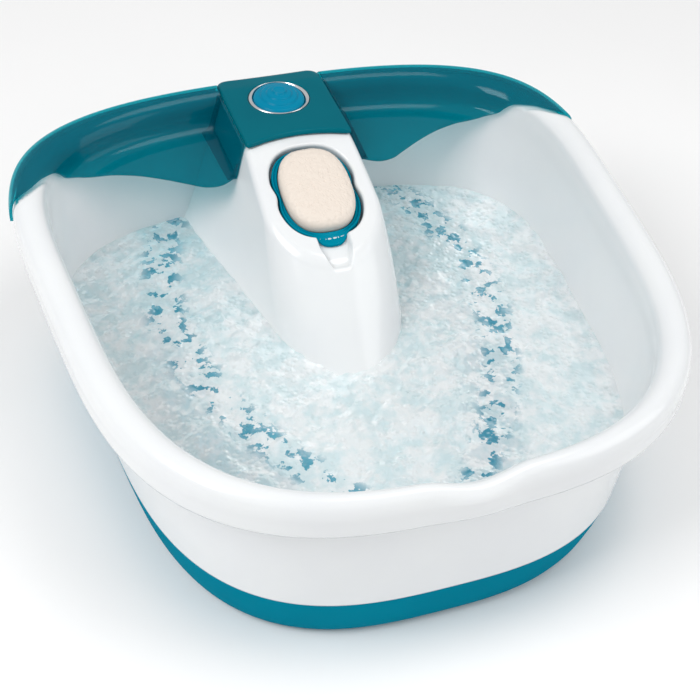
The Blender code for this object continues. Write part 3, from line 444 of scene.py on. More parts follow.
# ---------------------------------------------------------------- surfaces
def surface(name: str, grid: np.ndarray, around: bool = True, loop: bool = False, caps: str = "",
            sharp: float = 50.0) -> bpy.types.Object:
    """Mesh of quads between neighbouring rows and columns of a grid of points.

    A closed surface whose signed volume is negative is turned right side out.

    Args:
        name: the object's name.
        grid: points as rows, columns and three coordinates.
        around: whether the last column joins the first.
        loop: whether the last row joins the first.
        caps: "first", "last" or "both" rows closed by a fan round their mean point.
        sharp: edges that bend more than this many degrees stay crisp.

    Returns:
        The linked object.
    """
    rows, columns = grid.shape[:2]
    points = grid.reshape(-1, 3)
    row_to, column_to = rows if loop else rows - 1, columns if around else columns - 1
    r, c = np.meshgrid(np.arange(row_to), np.arange(column_to), indexing="ij")
    below, beside = (r + 1) % rows, (c + 1) % columns
    quads = np.stack([r * columns + c, r * columns + beside, below * columns + beside,
                      below * columns + c], -1).reshape(-1, 4)
    fans = []
    ring = np.arange(columns)
    ahead = np.roll(ring, -1)
    for word, row in (("first", 0), ("last", rows - 1)):
        if caps in (word, "both"):
            points = np.vstack([points, grid[row].mean(0)])
            hub = np.full(columns, len(points) - 1)
            base = row * columns
            turn = (ahead, ring) if word == "first" else (ring, ahead)
            fans.append(np.stack([base + turn[0], base + turn[1], hub], -1))
    triangles = np.vstack([quads[:, [0, 1, 2]], quads[:, [0, 2, 3]], *fans])
    a, b, d = (points[triangles[:, k]] for k in range(3))
    closed = around and (loop or caps == "both")
    if closed and np.einsum("ij,ij->", a, np.cross(b, d)) < 0:
        quads = quads[:, ::-1]
        fans = [fan[:, ::-1] for fan in fans]
    mesh = bpy.data.meshes.new(name)
    mesh.from_pydata(points.tolist(), [], quads.tolist() + [t for fan in fans for t in fan.tolist()])
    mesh.shade_smooth()
    mesh.set_sharp_from_angle(angle=math.radians(sharp))
    obj = bpy.data.objects.new(name, mesh)
    bpy.context.scene.collection.objects.link(obj)
    return obj


def smooth_rows(rows: np.ndarray, count: int) -> np.ndarray:
    """Evenly spaced points on a smooth curve through the rows.

    The curve is a cubic Hermite spline whose step is the chord between rows in their first and last
    columns, and whose slope at a row is the chord-weighted mean of its two neighbours' slopes.

    Args:
        rows: one row per point, any number of columns.
        count: how many points to return.

    Returns:
        The resampled rows.
    """
    rows = np.asarray(rows, float)
    step = np.hypot(np.diff(rows[:, 0]), np.diff(rows[:, -1])) + 1e-6
    at = np.concatenate([[0.0], np.cumsum(step)])
    slope = np.diff(rows, axis=0) / step[:, None]
    inner = (slope[:-1] * step[1:, None] + slope[1:] * step[:-1, None]) / (step[1:] + step[:-1])[:, None]
    tangent = np.vstack([slope[:1], inner, slope[-1:]])
    want = np.linspace(0.0, at[-1], count)
    k = np.clip(np.searchsorted(at, want, side="right") - 1, 0, len(step) - 1)
    h = step[k][:, None]
    t = ((want - at[k]) / step[k])[:, None]
    return ((2 * t ** 3 - 3 * t ** 2 + 1) * rows[k] + (t ** 3 - 2 * t ** 2 + t) * h * tangent[k]
            + (3 * t ** 2 - 2 * t ** 3) * rows[k + 1] + (t ** 3 - t ** 2) * h * tangent[k + 1])


def ease(x: np.ndarray) -> np.ndarray:
    """Smooth step of an array between 0 and 1."""
    x = np.clip(x, 0.0, 1.0)
    return x * x * (3.0 - 2.0 * x)


def ripple(points: np.ndarray, size: float, seed: int, waves: int = 24) -> np.ndarray:
    """Smooth unevenness: a sum of plane waves in random directions, about -1 to 1.

    Args:
        points: places to work it out at, last axis x, y, z.
        size: the wavelength in metres.
        seed: fixes the random directions and phases.
        waves: how many waves are added.

    Returns:
        One number per point.
    """
    draw = np.random.default_rng(seed)
    way = draw.normal(size=(waves, 3))
    way /= np.linalg.norm(way, axis=1, keepdims=True)
    way *= 2 * np.pi / size * draw.uniform(0.7, 1.4, (waves, 1))
    total = sum(np.sin(points @ w + p) for w, p in zip(way, draw.uniform(0, 2 * np.pi, waves)))
    return total / math.sqrt(waves / 2) / 2


def circle(radius: float, height: float, count: int, middle: tuple[float, float] = (0, 0)) -> np.ndarray:
    """Ring of points round an upright axis."""
    a = np.linspace(0, 2 * np.pi, count, endpoint=False)
    return np.stack([middle[0] + radius * np.cos(a), middle[1] + radius * np.sin(a),
                     np.full(count, height)], -1)


def turned(name: str, profile: np.ndarray, middle: tuple[float, float], count: int) -> bpy.types.Object:
    """Closed surface of revolution: the profile's radius and height carried round an upright axis.

    Args:
        name: the object's name.
        profile: rows of radius and height.
        middle: the axis in plan.
        count: points round the axis.

    Returns:
        The object.
    """
    a = np.linspace(0, 2 * np.pi, count, endpoint=False)
    radius, height = profile[:, 0][:, None], profile[:, 1][:, None]
    grid = np.stack([middle[0] + radius * np.cos(a), middle[1] + radius * np.sin(a),
                     np.broadcast_to(height, (len(profile), count))], -1)
    return surface(name, grid, caps="both")


def rounded_profile(corners: list[tuple[float, float, float]], steps: int = 5) -> np.ndarray:
    """Profile through corners, each with its own rounding radius.

    Args:
        corners: radius, height and rounding of each corner; the ends are kept as they are.
        steps: points in each rounding.

    Returns:
        Rows of radius and height.
    """
    places = np.array([c[:2] for c in corners])
    out = [places[:1]]
    t = np.linspace(0, 1, steps)[:, None]
    for before, here, after, corner in zip(places, places[1:], places[2:], corners[1:]):
        back, on = before - here, after - here
        reach = min(corner[2], np.linalg.norm(back) * 0.49, np.linalg.norm(on) * 0.49)
        start = here + back / np.linalg.norm(back) * reach
        end = here + on / np.linalg.norm(on) * reach
        out.append(start * (1 - t) ** 2 + here * 2 * t * (1 - t) + end * t ** 2)
    out.append(places[-1:])
    return np.vstack(out)


def ellipse(wide: float, tall: float, bearing: np.ndarray) -> np.ndarray:
    """Distance from an ellipse's middle to its line at each bearing."""
    return 1.0 / np.sqrt((np.cos(bearing) / wide) ** 2 + (np.sin(bearing) / tall) ** 2)


def polar(line: np.ndarray, bearing: np.ndarray) -> np.ndarray:
    """Distance from the origin to a closed plan line at each bearing.

    Args:
        line: points of the line, which every ray from the origin crosses once.
        bearing: angles in radians.

    Returns:
        One distance per bearing.
    """
    ahead = np.roll(line, -1, axis=0)
    share = np.linspace(0, 1, 24, endpoint=False)[:, None, None]
    dense = (line * (1 - share) + ahead * share).reshape(-1, 2)
    angle = np.arctan2(dense[:, 1], dense[:, 0])
    order = np.argsort(angle)
    return np.interp(bearing, angle[order], np.hypot(*dense.T)[order], period=2 * np.pi)


def finish_with(obj: bpy.types.Object, *modifiers: tuple[str, dict]) -> bpy.types.Object:
    """Add modifiers to a piece and apply them in order.

    Args:
        obj: the piece.
        modifiers: each modifier's type and its settings.

    Returns:
        The same piece.
    """
    for kind, settings in modifiers:
        made = obj.modifiers.new(kind.lower(), kind)
        for key, value in settings.items():
            setattr(made, key, value)
    graph = bpy.context.evaluated_depsgraph_get()
    mesh = bpy.data.meshes.new_from_object(obj.evaluated_get(graph))
    obj.modifiers.clear()
    obj.data = mesh
    return obj


def carve(obj: bpy.types.Object, *tools: bpy.types.Object) -> bpy.types.Object:
    """Cut closed tools out of a piece and remove them.

    Args:
        obj: the piece.
        tools: the closed shapes that are cut away.

    Returns:
        The same piece.
    """
    for tool in tools:
        mod = obj.modifiers.new("opening", "BOOLEAN")
        mod.operation, mod.solver, mod.object = "DIFFERENCE", "EXACT", tool
    finish_with(obj)
    for tool in tools:
        bpy.data.objects.remove(tool, do_unlink=True)
    return obj


def middle_of(node: str) -> tuple[float, float]:
    """Middle of a CAD node's box in plan."""
    low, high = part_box(node)
    return (low.x + high.x) / 2, (low.y + high.y) / 2


def quarter_turn(count: int, first: int = 1) -> list[tuple[float, float]]:
    """Steps of a rounded edge, as 1 - cos and 1 - sin of angles from 0 to a right angle.

    Args:
        count: how many angles there are.
        first: how many of them are left out at the start.

    Returns:
        One pair per step.
    """
    return [(1 - math.cos(a), 1 - math.sin(a)) for a in np.linspace(0, QUARTER, count)[first:]]


def button_well() -> bpy.types.Object:
    """Closed cylinder round the button's axis, for the opening below the panel."""
    radius, low, high = 0.0200, 0.1300, 0.1500
    return turned("button_well", np.array([(radius, low), (radius, high)]), middle_of("power_button"), 96)


def wear(obj: bpy.types.Object, body: str, slot: str, finish: Finish, *nodes: str) -> bpy.types.Object:
    """Dress a piece, set it on its body and let it stand for its CAD nodes.

    Args:
        obj: the piece.
        body: the CAD body it rides on.
        slot: the record's material slot; not used.
        finish: what it is made of.
        nodes: the CAD nodes it replaces.

    Returns:
        The same piece.
    """
    obj.data.materials.clear()
    obj.data.materials.append(finish.material())
    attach(obj, body)
    if nodes:
        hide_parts(*nodes)
    LOG.info("%s: %d faces, %s", obj.name, len(obj.data.polygons), finish.name)
    return obj


# ---------------------------------------------------------------- the rim line
@dataclass(frozen=True)
class RimLine:
    """Plan line of the rim and of every ring inside it.

    x is (half width - side inset + taper * y) times a power of the cosine, and y is (half length - front
    or back inset) times a power of the sine.
    """

    half_width: float
    half_length: float
    taper: float = 0.071
    front_power: float = 3.27
    rear_power: float = 4.61
    side_power: float = 2.83

    def place(self, angle: np.ndarray, inset: np.ndarray) -> np.ndarray:
        """Plan points of rings.

        Args:
            angle: the angles round each ring.
            inset: one row per ring with its side, front and back inset.

        Returns:
            Rings, points and x, y.
        """
        c, s = np.cos(angle), np.sin(angle)
        rear = s > 0
        power = np.where(rear, self.rear_power, self.front_power)
        half = self.half_length - np.where(rear, inset[:, 2:3], inset[:, 1:2])
        y = half * np.sign(s) * np.abs(s) ** (2 / power)
        width = self.half_width - inset[:, 0:1] + self.taper * y
        return np.stack([width * np.sign(c) * np.abs(c) ** (2 / self.side_power), y], -1)

    def even_angles(self, count: int, start: float = -np.pi / 2, end: float = 1.5 * np.pi,
                    closed: bool = True) -> np.ndarray:
        """Angles that space points evenly along the outer ring.

        Args:
            count: how many angles.
            start: first angle.
            end: last angle.
            closed: leave the end out, because it is the start again.

        Returns:
            The angles.
        """
        fine = np.linspace(start, end, 20001)
        line = self.place(fine, np.zeros((1, 3)))[0]
        run = np.concatenate([[0.0], np.cumsum(np.hypot(*np.diff(line, axis=0).T))])
        return np.interp(np.linspace(0, run[-1], count, endpoint=not closed), run, fine)

    def rings(self, rows: np.ndarray, angle: np.ndarray) -> np.ndarray:
        """Rings in space from rows of side, front and back inset and height."""
        flat = self.place(angle, rows[:, :3])
        height = np.broadcast_to(rows[:, 3][:, None, None], (*flat.shape[:2], 1))
        return np.concatenate([flat, height], -1)


@dataclass
class Levels:
    """Heights that the pieces share, read off the CAD frame."""

    rim_top: float
    skirt_bottom: float
    tray_top: float
    tray_bottom: float
    floor_top: float
    water: float = 0.0665

    @classmethod
    def from_frame(cls) -> Levels:
        """Read the heights off the boxes of the CAD nodes."""
        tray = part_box("base_tray")
        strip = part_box("bubble_strip_left")
        rim_top, skirt_depth = 0.1475, 0.0255
        return cls(rim_top=rim_top, skirt_bottom=rim_top - skirt_depth, tray_top=tray[1].z,
                   tray_bottom=tray[0].z, floor_top=strip[0].z - GAP)


@dataclass
class Tub:
    """White tub shell: floor, walls and rolled rim with its pouring lip."""

    rim: RimLine
    level: Levels
    points: int = 420
    rows: int = 200
    lip_half_width: float = 0.034
    lip_push: float = 0.0036
    lip_dip: float = 0.0036
    rebate_run: float = 0.0035
    rebate_drop: float = 0.0030
    rebate_pull: float = 0.0023

    def inner_rows(self) -> np.ndarray:
        """Inner wall from the floor's edge to the crown of the rim, then down the skirt."""
        top, skirt, floor = self.level.rim_top, self.level.skirt_bottom, self.level.floor_top
        return np.array([
            (0.0620, 0.0530, 0.0730, floor), (0.0450, 0.0360, 0.0560, floor + 0.0002),
            (0.0345, 0.0250, 0.0470, floor + 0.0024), (0.0295, 0.0208, 0.0422, floor + 0.0100),
            (0.0265, 0.0180, 0.0375, 0.0670), (0.0235, 0.0158, 0.0280, 0.0950),
            (0.0212, 0.0145, 0.0205, skirt - 0.0020), (0.0206, 0.0148, 0.0165, top - 0.0120),
            (0.0190, 0.0132, 0.0148, top - 0.0046), (0.0150, 0.0104, 0.0122, top - 0.0012),
            (0.0100, 0.0075, 0.0085, top), (0.0055, 0.0048, 0.0050, top - 0.0006),
            (0.0018, 0.0018, 0.0018, top - 0.0036), (0.0001, 0.0001, 0.0001, top - 0.0092),
            (0.0000, 0.0000, 0.0000, top - 0.0160), (0.0001, 0.0001, 0.0001, skirt + 0.0022)])

    def outer_rows(self) -> np.ndarray:
        """Back of the skirt, underside of the rim and the outer wall down to the tray."""
        top, skirt, tray = self.level.rim_top, self.level.skirt_bottom, self.level.tray_top
        return np.array([
            (0.0028, 0.0028, 0.0028, skirt + 0.0022), (0.0029, 0.0029, 0.0029, top - 0.0098),
            (0.0044, 0.0042, 0.0042, top - 0.0056), (0.0078, 0.0060, 0.0066, top - 0.0034),
            (0.0122, 0.0084, 0.0094, top - 0.0040), (0.0160, 0.0108, 0.0120, top - 0.0068),
            (0.0177, 0.0118, 0.0134, top - 0.0130), (0.0178, 0.0114, 0.0174, skirt - 0.0020),
            (0.0204, 0.0128, 0.0248, 0.0950), (0.0234, 0.0149, 0.0342, 0.0670),
            (0.0262, 0.0158, 0.0378, tray + 0.0016)])

    def section(self) -> np.ndarray:
        """The whole section as rows, from the floor's middle over the rim and back under the floor."""
        skirt, tray = self.level.skirt_bottom, self.level.tray_top
        edge = np.array([(0.0008, 0.0008, 0.0008, skirt + 0.0002), (0.0014, 0.0014, 0.0014, skirt),
                         (0.0021, 0.0021, 0.0021, skirt + 0.0002)])
        foot = np.array([(0.0265, 0.0160, 0.0380, tray + 0.0006), (0.0270, 0.0165, 0.0385, tray + 0.0003),
                         (0.0302, 0.0197, 0.0417, tray + 0.0003),
                         (0.0308, 0.0203, 0.0423, self.level.floor_top - 0.0031)])
        share = int(self.rows * 0.55)
        return np.vstack([smooth_rows(self.inner_rows(), share), edge,
                          smooth_rows(self.outer_rows(), self.rows - share), foot])

    def pour(self, grid: np.ndarray) -> np.ndarray:
        """Swell and dip the front rim into a pouring lip.

        Each point within the lip's width moves forwards and down by a raised cosine of x, times how far
        up the wall it is.

        Args:
            grid: the tub's rings.

        Returns:
            The moved rings.
        """
        x, y, z = np.moveaxis(grid, -1, 0)
        near = np.where((y < 0) & (np.abs(x) < self.lip_half_width),
                        0.5 + 0.5 * np.cos(np.pi * x / self.lip_half_width), 0.0)
        high = ease((z - 0.105) / 0.035)
        crown = ease((z - (self.level.rim_top - 0.012)) / 0.011)
        moved = grid.copy()
        moved[..., 1] -= self.lip_push * near * high
        moved[..., 2] -= self.lip_dip * near * crown
        return moved

    def rebate(self, grid: np.ndarray, rows: np.ndarray) -> np.ndarray:
        """Sink the crown and pull in the skirt behind the guard's ends, so that the guard lies flush.

        Args:
            grid: the tub's rings.
            rows: the section rows they came from.

        Returns:
            The moved rings.
        """
        x, y, z = np.moveaxis(grid, -1, 0)
        start = np.interp(np.abs(x), *Guard.edge_line().T) - self.rebate_run - 0.0004
        behind = ease((y - start) / self.rebate_run)
        side = rows[:, :1]
        drop = ease((z - 0.1265) / 0.012)
        pull = ease((0.0125 - side) / 0.0110) * ease((z - 0.1270) / 0.0015)
        outer = np.arange(len(rows))[:, None] > int(self.rows * 0.55) * 0.5
        keep = 1.0 - self.rebate_pull * pull * behind * outer / np.hypot(x, y).clip(0.01)
        return np.stack([x * keep, y * keep, z - self.rebate_drop * drop * behind], -1)

    def build(self, tower: Tower) -> None:
        """Make the shell and dress it.

        Args:
            tower: the tower, whose foot leaves the floor below it open.
        """
        rows = self.section()
        grid = self.rim.rings(rows, self.rim.even_angles(self.points))
        shell = surface("tub_shell", self.rebate(self.pour(grid), rows), caps="both", sharp=60.0)
        carve(shell, tower.opening(), button_well())
        shell.data.set_sharp_from_angle(angle=math.radians(60))
        wear(shell, "basin", "white_plastic", Finish.WHITE, "tub")


@dataclass
class Pocket:
    """The pumice pocket's frame and outlines; its plane is the tower's sloping top."""

    middle: float = 0.0822
    half_width: float = 0.0292
    half_length: float = 0.0366
    depth: float = 0.0130
    power: float = 2.6
    waist: float = 0.0022
    waist_length: float = 0.0070
    nose: float = 0.0315
    nose_height: float = 0.1175
    plateau: float = 0.1443
    plateau_start: float = 0.1205

    @property
    def slope(self) -> float:
        """Rise per metre of the sloping top."""
        return (self.plateau - self.nose_height) / (self.plateau_start - self.nose)

    def roof(self, y: np.ndarray) -> np.ndarray:
        """Height of the tower's top: the lower of the slope and the plateau, with a soft bend."""
        ramp = self.nose_height + self.slope * (y - self.nose)
        soft = 0.0008
        gap = self.plateau - ramp
        return self.plateau - 0.5 * (gap + np.sqrt(gap * gap + soft * soft))

    def oblong(self, half_width: float, half_length: float, waist: float, count: int = 720) -> np.ndarray:
        """Rounded oblong in plan whose long sides bend in at the middle."""
        a = np.linspace(-np.pi, np.pi, count, endpoint=False)
        y = half_length * np.sign(np.sin(a)) * np.abs(np.sin(a)) ** (2 / self.power)
        bend = waist * np.exp(-((y / self.waist_length) ** 2))
        x = (half_width - bend) * np.sign(np.cos(a)) * np.abs(np.cos(a)) ** (2 / self.power)
        return np.stack([x, y], -1)

    @property
    def middle_height(self) -> float:
        """Height of the sloping top over the pocket's middle."""
        return self.nose_height + self.slope * (self.middle - self.nose)

    def to_world(self, local: np.ndarray) -> np.ndarray:
        """Turn points of the pocket's frame into the row frame."""
        tilt = math.atan(self.slope)
        u, v, w = np.moveaxis(local, -1, 0)
        y = self.middle + v * math.cos(tilt) - w * math.sin(tilt)
        z = self.middle_height + v * math.sin(tilt) + w * math.cos(tilt)
        return np.stack([u, y, z], -1)

    def ring(self, radius: np.ndarray, bearing: np.ndarray, depth: float) -> np.ndarray:
        """Ring in the row frame from its distances at each bearing and its depth below the top."""
        local = np.stack([radius * np.cos(bearing), radius * np.sin(bearing),
                          np.full_like(radius, -depth)], -1)
        return self.to_world(local)


@dataclass
class Tower:
    """White tower: flared foot, leaning sides, sloping top with the pumice pocket and finger notch."""

    level: Levels
    pocket: Pocket
    rear_reach: list[tuple[float, float]]
    points: int = 480
    foot: float = 0.067
    nose_foot: float = -0.022
    water_half: float = 0.0378
    nose_power: float = 2.1
    spread: float = 0.211
    top_half: float = 0.0365
    edge: float = 0.0042
    fillet: float = 0.0120
    notch_wide: float = 0.0100
    notch_tip: float = 0.0045
    notch_depth: float = 0.0055
    wall: float = 0.0022

    def lean(self, height: np.ndarray) -> np.ndarray:
        """How far the sides have leaned in at a height: 0 at the foot, 1 at the plateau."""
        return np.clip((height - self.foot) / (self.pocket.plateau - self.foot), 0.0, 1.0) ** 0.8

    def half_width(self, y: np.ndarray, height: np.ndarray) -> np.ndarray:
        """Half width behind the nose: it grows with y at the foot and leans in with height.

        Args:
            y: places along the basin.
            height: heights, of the same shape or a number.

        Returns:
            The half widths.
        """
        wide = self.water_half + self.spread * y
        return wide + (self.top_half - wide) * self.lean(height)

    def outline(self, height: float) -> np.ndarray:
        """Plan outline at one height, whole and closed.

        The half width grows with y, leans in with height, and closes at the front by a power curve.

        Args:
            height: where the outline is taken.

        Returns:
            Points relative to the pocket's middle.
        """
        nose = self.pocket.nose
        nose_at = np.interp(height, [0.0508, self.foot, self.pocket.nose_height, 0.16],
                            [-0.038, self.nose_foot, nose, nose + 0.045])
        reach = 0.046 - 0.018 * self.lean(height)
        rear = np.interp(height, *zip(*self.rear_reach))
        near = np.linspace(0, 1, 120) ** 2
        y = np.concatenate([nose_at + reach * near,
                            np.linspace(nose_at + reach, rear, 60)[1:]])
        half = self.half_width(y, height)
        blunt = np.clip(1.0 - (y - nose_at) / reach, 0.0, 1.0)
        x = half * (1.0 - blunt ** self.nose_power) ** (1 / self.nose_power)
        back = np.linspace(x[-1], 0, 20)[1:]
        right = np.stack([np.concatenate([x, back]), np.concatenate([y, np.full(19, rear)])], -1)
        left = right[::-1] * (-1, 1)
        both = np.vstack([right, left[1:-1]])
        return both - (0.0, self.pocket.middle)

    def build(self) -> None:
        """Make the tower and dress it."""
        bearing = np.linspace(-np.pi / 2, 1.5 * np.pi, self.points, endpoint=False)
        heights = np.linspace(self.level.floor_top - 0.004, 0.152, 90)
        table = np.stack([polar(self.outline(h), bearing) for h in heights])

        def radius(z: np.ndarray) -> np.ndarray:
            """Distance from the middle at each bearing, for a height at each bearing."""
            place = np.clip((z - heights[0]) / (heights[1] - heights[0]), 0, len(heights) - 1.001)
            k = place.astype(int)
            t = place - k
            column = np.arange(len(bearing))
            plain = table[k, column] * (1 - t) + table[k + 1, column] * t
            up = np.clip((z - self.level.floor_top) / self.fillet, 0.0, 1.0)
            return plain + self.fillet * (1.0 - np.sqrt(1.0 - (1.0 - up) ** 2))

        def ring(z: np.ndarray, inset: float = 0.0) -> np.ndarray:
            """Ring in space at a height for each bearing, pulled in by an inset."""
            r = radius(z) - inset
            return np.stack([r * np.cos(bearing), self.pocket.middle + r * np.sin(bearing), z], -1)

        low = np.full(self.points, self.level.floor_top - 0.0015)
        top = np.full(self.points, self.pocket.plateau)
        for _ in range(30):
            top = self.pocket.roof(ring(top)[:, 1]) - self.edge
        share = np.concatenate([np.linspace(0, 0.16, 22)[:-1], np.linspace(0.16, 1, 64)])
        rings = [ring(low + (top - low) * s) for s in share]
        for inwards, below in quarter_turn(12):
            z = top + self.edge * (1 - below)
            flat = ring(np.minimum(z, top + self.edge * 0.9), self.edge * inwards)
            flat[:, 2] = self.pocket.roof(flat[:, 1]) - self.edge * below
            rings.append(flat)
        rings = self.notched(rings + self.roof_and_pocket(rings[-1], bearing))
        tower = surface("tower", np.stack(rings), caps="last", sharp=60.0)
        finish_with(tower, ("SOLIDIFY", {"thickness": self.wall, "offset": -1.0, "use_rim": True}))
        carve(tower, button_well())
        tower.data.set_sharp_from_angle(angle=math.radians(60))
        wear(tower, "basin", "white_plastic", Finish.WHITE, "tub")

    def roof_and_pocket(self, edge_ring: np.ndarray, bearing: np.ndarray) -> list[np.ndarray]:
        """Rings across the sloping top, over the pocket's soft edge and down to its floor.

        Args:
            edge_ring: the ring where the top's rounded edge ends.
            bearing: the bearings of the ring's points.

        Returns:
            The rings in order.
        """
        p = self.pocket
        soft, fillet = 0.0020, 0.0022
        hole = polar(p.oblong(p.half_width, p.half_length, p.waist), bearing)
        start = p.ring(hole + soft, bearing, 0.0)
        rings = []
        for t in np.linspace(0, 1, 16)[1:]:
            flat = edge_ring * (1 - t) + start * t
            flat[:, 2] = p.roof(flat[:, 1])
            rings.append(flat)
        rings += [p.ring(hole + soft * b, bearing, soft * a) for a, b in quarter_turn(8)]
        rings += [p.ring(hole, bearing, depth) for depth in np.linspace(soft, p.depth - fillet, 10)[1:]]
        rings += [p.ring(hole - fillet * a, bearing, p.depth - fillet * b) for a, b in quarter_turn(6)]
        return rings + [p.ring(hole * s, bearing, p.depth) for s in (0.8, 0.5, 0.2)]

    def opening(self) -> bpy.types.Object:
        """Closed prism inside the tower's foot, for the opening in the tub's floor below it."""
        line = self.outline(self.level.floor_top)
        inwards = 0.0040
        line *= 1.0 - inwards / np.hypot(*line.T)[:, None].clip(0.01)
        line += (0.0, self.pocket.middle)
        grid = np.stack([np.concatenate([line, np.full((len(line), 1), self.level.floor_top + z)], -1)
                         for z in (-0.008, 0.006)])
        return surface("tower_opening", grid, caps="both")

    def notched(self, rings: list[np.ndarray]) -> np.ndarray:
        """Press the finger notch into the rings.

        Points of the top and the front edge within a wedge that narrows towards the front sink along the
        pocket's axis by the notch's depth.

        Args:
            rings: all rings, foot to pocket floor.

        Returns:
            The same rings, moved.
        """
        grid = np.stack(rings)
        p = self.pocket
        tilt = math.atan(p.slope)
        x, y, z = np.moveaxis(grid, -1, 0)
        up = z - p.middle_height
        v = (y - p.middle) * math.cos(tilt) + up * math.sin(tilt)
        w = -(y - p.middle) * math.sin(tilt) + up * math.cos(tilt)
        half = np.interp(v, [-0.064, -0.044, -0.030], [self.notch_tip, self.notch_wide, self.notch_wide])
        side = ease((half - np.abs(x)) / 0.0032 + 0.5)
        along = ease((-0.0300 - v) / 0.004) * ease((v + 0.0625) / 0.0060)
        high = ease((w + self.notch_depth) / self.notch_depth)
        sink = np.maximum(self.notch_depth * side * along, 0.0) * np.where(w > -0.001, 1.0, high)
        grid[..., 1] += sink * math.sin(tilt)
        grid[..., 2] -= sink * math.cos(tilt)
        return grid


@dataclass
class Tray:
    """Teal tray under the tub, with vents, screw holes and foot recesses."""

    rim: RimLine
    level: Levels
    points: int = 360
    vent_step: float = 0.0055
    vent_half: float = 0.0012

    def section(self) -> np.ndarray:
        """Rows from the middle of the underside, up the outside and down the inside."""
        low, top = self.level.tray_bottom, self.level.tray_top
        outside = smooth_rows([
            (0.0430, 0.0315, 0.0515, low), (0.0400, 0.0285, 0.0485, low + 0.0001),
            (0.0372, 0.0257, 0.0457, low + 0.0014), (0.0352, 0.0238, 0.0442, low + 0.0050),
            (0.0305, 0.0196, 0.0408, low + 0.0200), (0.0268, 0.0163, 0.0383, top - 0.0012)], 40)
        rim = np.array([(0.0267, 0.0162, 0.0382, top - 0.0004), (0.0271, 0.0166, 0.0386, top),
                        (0.0287, 0.0182, 0.0402, top), (0.0291, 0.0186, 0.0406, top - 0.0003)])
        inside = smooth_rows([
            (0.0295, 0.0190, 0.0409, top - 0.0020), (0.0330, 0.0222, 0.0434, low + 0.0200),
            (0.0376, 0.0262, 0.0466, low + 0.0070), (0.0410, 0.0296, 0.0496, low + 0.0032)], 20)
        return np.vstack([outside, rim, inside])

    def build(self) -> None:
        """Make the tray, cut its openings and dress it."""
        grid = self.rim.rings(self.section(), self.rim.even_angles(self.points))
        tray = surface("tray_shell", grid, caps="both", sharp=50.0)
        low = self.level.tray_bottom
        x, y = middle_of("impeller")
        tools = [self.slot_cutter(x, y + k * self.vent_step, 0.017 - 0.0012 * abs(k) ** 1.5, low)
                 for k in range(-3, 4)]
        for node, count, radius, depth, steps in (("rubber_foot", 4, 0.0093, 0.0012, 48),
                                                  ("base_screw", 6, 0.0041, 0.0060, 40)):
            profile = np.array([(radius, low - 0.002), (radius, low + depth)])
            tools += [turned(f"{node}_hole_{k}", profile, middle_of(f"{node}_{k}"), steps)
                      for k in range(1, count + 1)]
        carve(tray, *tools)
        tray.data.set_sharp_from_angle(angle=math.radians(40))
        wear(tray, "basin", "teal_plastic", Finish.TEAL, "base_tray")

    def slot_cutter(self, x: float, y: float, reach: float, low: float) -> bpy.types.Object:
        """Upright prism with round ends that cuts one vent.

        Args:
            x: the vent's middle.
            y: the vent's middle.
            reach: half its length.
            low: height of the tray's underside.

        Returns:
            The cutter.
        """
        a = np.linspace(0, 2 * np.pi, 24, endpoint=False)
        half = self.vent_half
        plan = np.stack([x + half * np.cos(a) + np.sign(np.cos(a) + 1e-9) * (reach - half),
                         y + half * np.sin(a)], -1)
        grid = np.stack([np.concatenate([plan, np.full((24, 1), z)], -1)
                         for z in (low - 0.002, low + 0.008)])
        return surface("vent", grid, caps="both")


